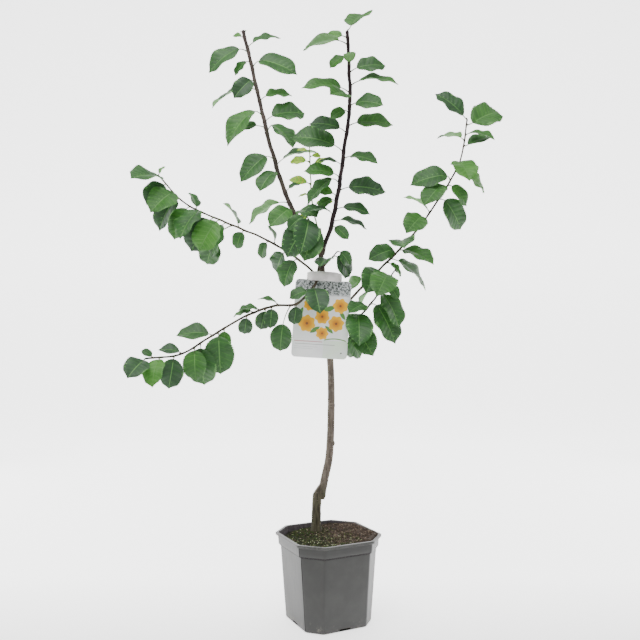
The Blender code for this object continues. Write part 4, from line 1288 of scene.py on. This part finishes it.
wash = card_print.grain(0.06, 2.0, 0.5)
colour = card_print.mix(wash.step(0.35, 0.65), (0.690, 0.690, 0.710), (0.780, 0.780, 0.790))
panel = printed_box(0.008, CARD_WIDTH, -CARD_HEIGHT, -0.050) * wash.step(0.2, 0.6)
colour = card_print.mix(panel * 0.7, colour, (0.55, 0.68, 0.50))
for x, z, half_length, half_width, turn in PRINTED_LEAVES:
    run = ((across - x) * math.cos(turn) + (up - z) * math.sin(turn)) / half_length
    rise = ((up - z) * math.cos(turn) - (across - x) * math.sin(turn)) / half_width
    mask = (1.0 - run ** 2.0 - rise.maths("ABSOLUTE")).step(0.0, 0.12)
    colour = card_print.mix(mask, colour, LEAF_INK)
for x, z, reach, turn in BLOSSOMS:
    far = distance(x, z)
    angle = (up - z).maths("ARCTAN2", across - x) + turn
    edge = ((angle * 7.0).maths("COSINE") * 0.08 + 0.92) * reach
    petal = card_print.mix((far / reach).step(0.15, 0.85), PETAL_DEEP, PETAL_LIGHT)
    colour = card_print.mix(inside(edge - far), colour, petal)
    colour = card_print.mix(inside(reach * 0.16 - far), colour, PETAL_EYE)
speckle = card_print.grain(0.0050, 5.0, 0.75)
mottle = card_print.mix(speckle.step(0.44, 0.56), (0.030, 0.042, 0.040), (0.52, 0.54, 0.55))
fade = (up - (CARD_HEIGHT / 2 - BAND_DROP)).step(0.0, 0.010)
colour = card_print.mix(fade, colour, mottle)
away = (up - STROKE_TOP[1] + (across - STROKE_TOP[0]) ** 2.0 * STROKE_CURVE).maths("ABSOLUTE")
stroke = inside(STROKE_HALF - away) * printed_box(*STROKE_ENDS, -0.06, -0.03)
colour = card_print.mix(stroke, colour, STROKE_INK)
for left, right, height, half, red in BARS:
    bar = printed_box(left, right, height - half, height + half)
    colour = card_print.mix(bar * 0.9, colour, RED_INK if red else GREY_INK)
colour = card_print.mix(inside(DOT_RADIUS - distance(*DOT_AT)), colour, DOT_INK)
colour = card_print.mix(behind.step(-CARD_THICK * 0.05, CARD_THICK * 0.3), colour, (0.72, 0.72, 0.71))
swell = card_print.grain(0.05, 2.0, 0.4)
card_print.coat({"Base Color": colour, "Normal": card_print.relief(swell, 0.0012)})
dress(card, [card_print.material], "label_card_print", "label_card")


# Strap: the label's own tongue, bent into an oval loop round the trunk. It rests on the card's top
# edge, its front hangs over the card, its upper edge is crowned and its rims are round.
STRAP_MIDDLE = 0.0012
STRAP_HALF_WIDTH = 0.0420
STRAP_HALF_DEPTH = 0.0284
STRAP_THICK = 0.0010
STRAP_HEIGHT = 0.0190
STRAP_OVERLAP = 0.0032
STRAP_FRONT = -0.3
STRAP_STEPS = 96
STRAP_CROWN = 0.0035           # how much lower the upper edge is at the sides
STRAP_RIM = 0.0003

rings = []
for step in range(STRAP_STEPS):
    angle = 2 * math.pi * step / STRAP_STEPS
    foot = CARD_HEIGHT / 2 + GAP
    low = foot - STRAP_OVERLAP * min(1.0, max(0.0, (STRAP_FRONT - math.sin(angle)) / 0.05))
    top = foot + STRAP_HEIGHT - STRAP_CROWN * abs(math.cos(angle)) ** 5
    edges = (low + STRAP_RIM, (low + top) / 2, top - STRAP_RIM)
    outside, within = [(0.0, height) for height in edges], [(1.0, height) for height in reversed(edges)]
    ring = []
    for inset, height in outside + [(0.5, top)] + within + [(0.5, low)]:
        x = (STRAP_HALF_WIDTH - inset * STRAP_THICK) * math.cos(angle)
        y = (STRAP_HALF_DEPTH - inset * STRAP_THICK) * math.sin(angle)
        ring.append(Vector((STRAP_MIDDLE + x, y, height)))
    rings.append(ring)
verts, faces = [point for ring in rings for point in ring], []
count = len(rings[0])
for row in range(STRAP_STEPS):
    for a in range(count):
        low, high = row * count, (row + 1) % STRAP_STEPS * count
        faces.append((low + a, low + (a + 1) % count, high + (a + 1) % count, high + a))
strap = facing_out(gather("label_strap_loop", [(verts, faces)]))
strap.matrix_world = CARD_FRAME

tongue = Finish("label_strap_plastic", {"Roughness": 0.35, "Specular IOR Level": 0.5})
haze = tongue.grain(0.018, 3.0, 0.5)
scuff = tongue.grain(0.0030, 4.0, 0.65).step(0.60, 0.70)
colour = tongue.mix(haze.step(0.35, 0.65), (0.480, 0.455, 0.448), (0.610, 0.590, 0.580))
colour = tongue.mix(scuff * 0.4, colour, (0.30, 0.30, 0.29))
tongue.coat({"Base Color": colour, "Normal": tongue.relief(haze, 0.0006)})
dress(strap, [tongue.material], "label_strap_plastic", "label_strap")


# Size: the box of the finished scene, without the backdrop.
low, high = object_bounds()
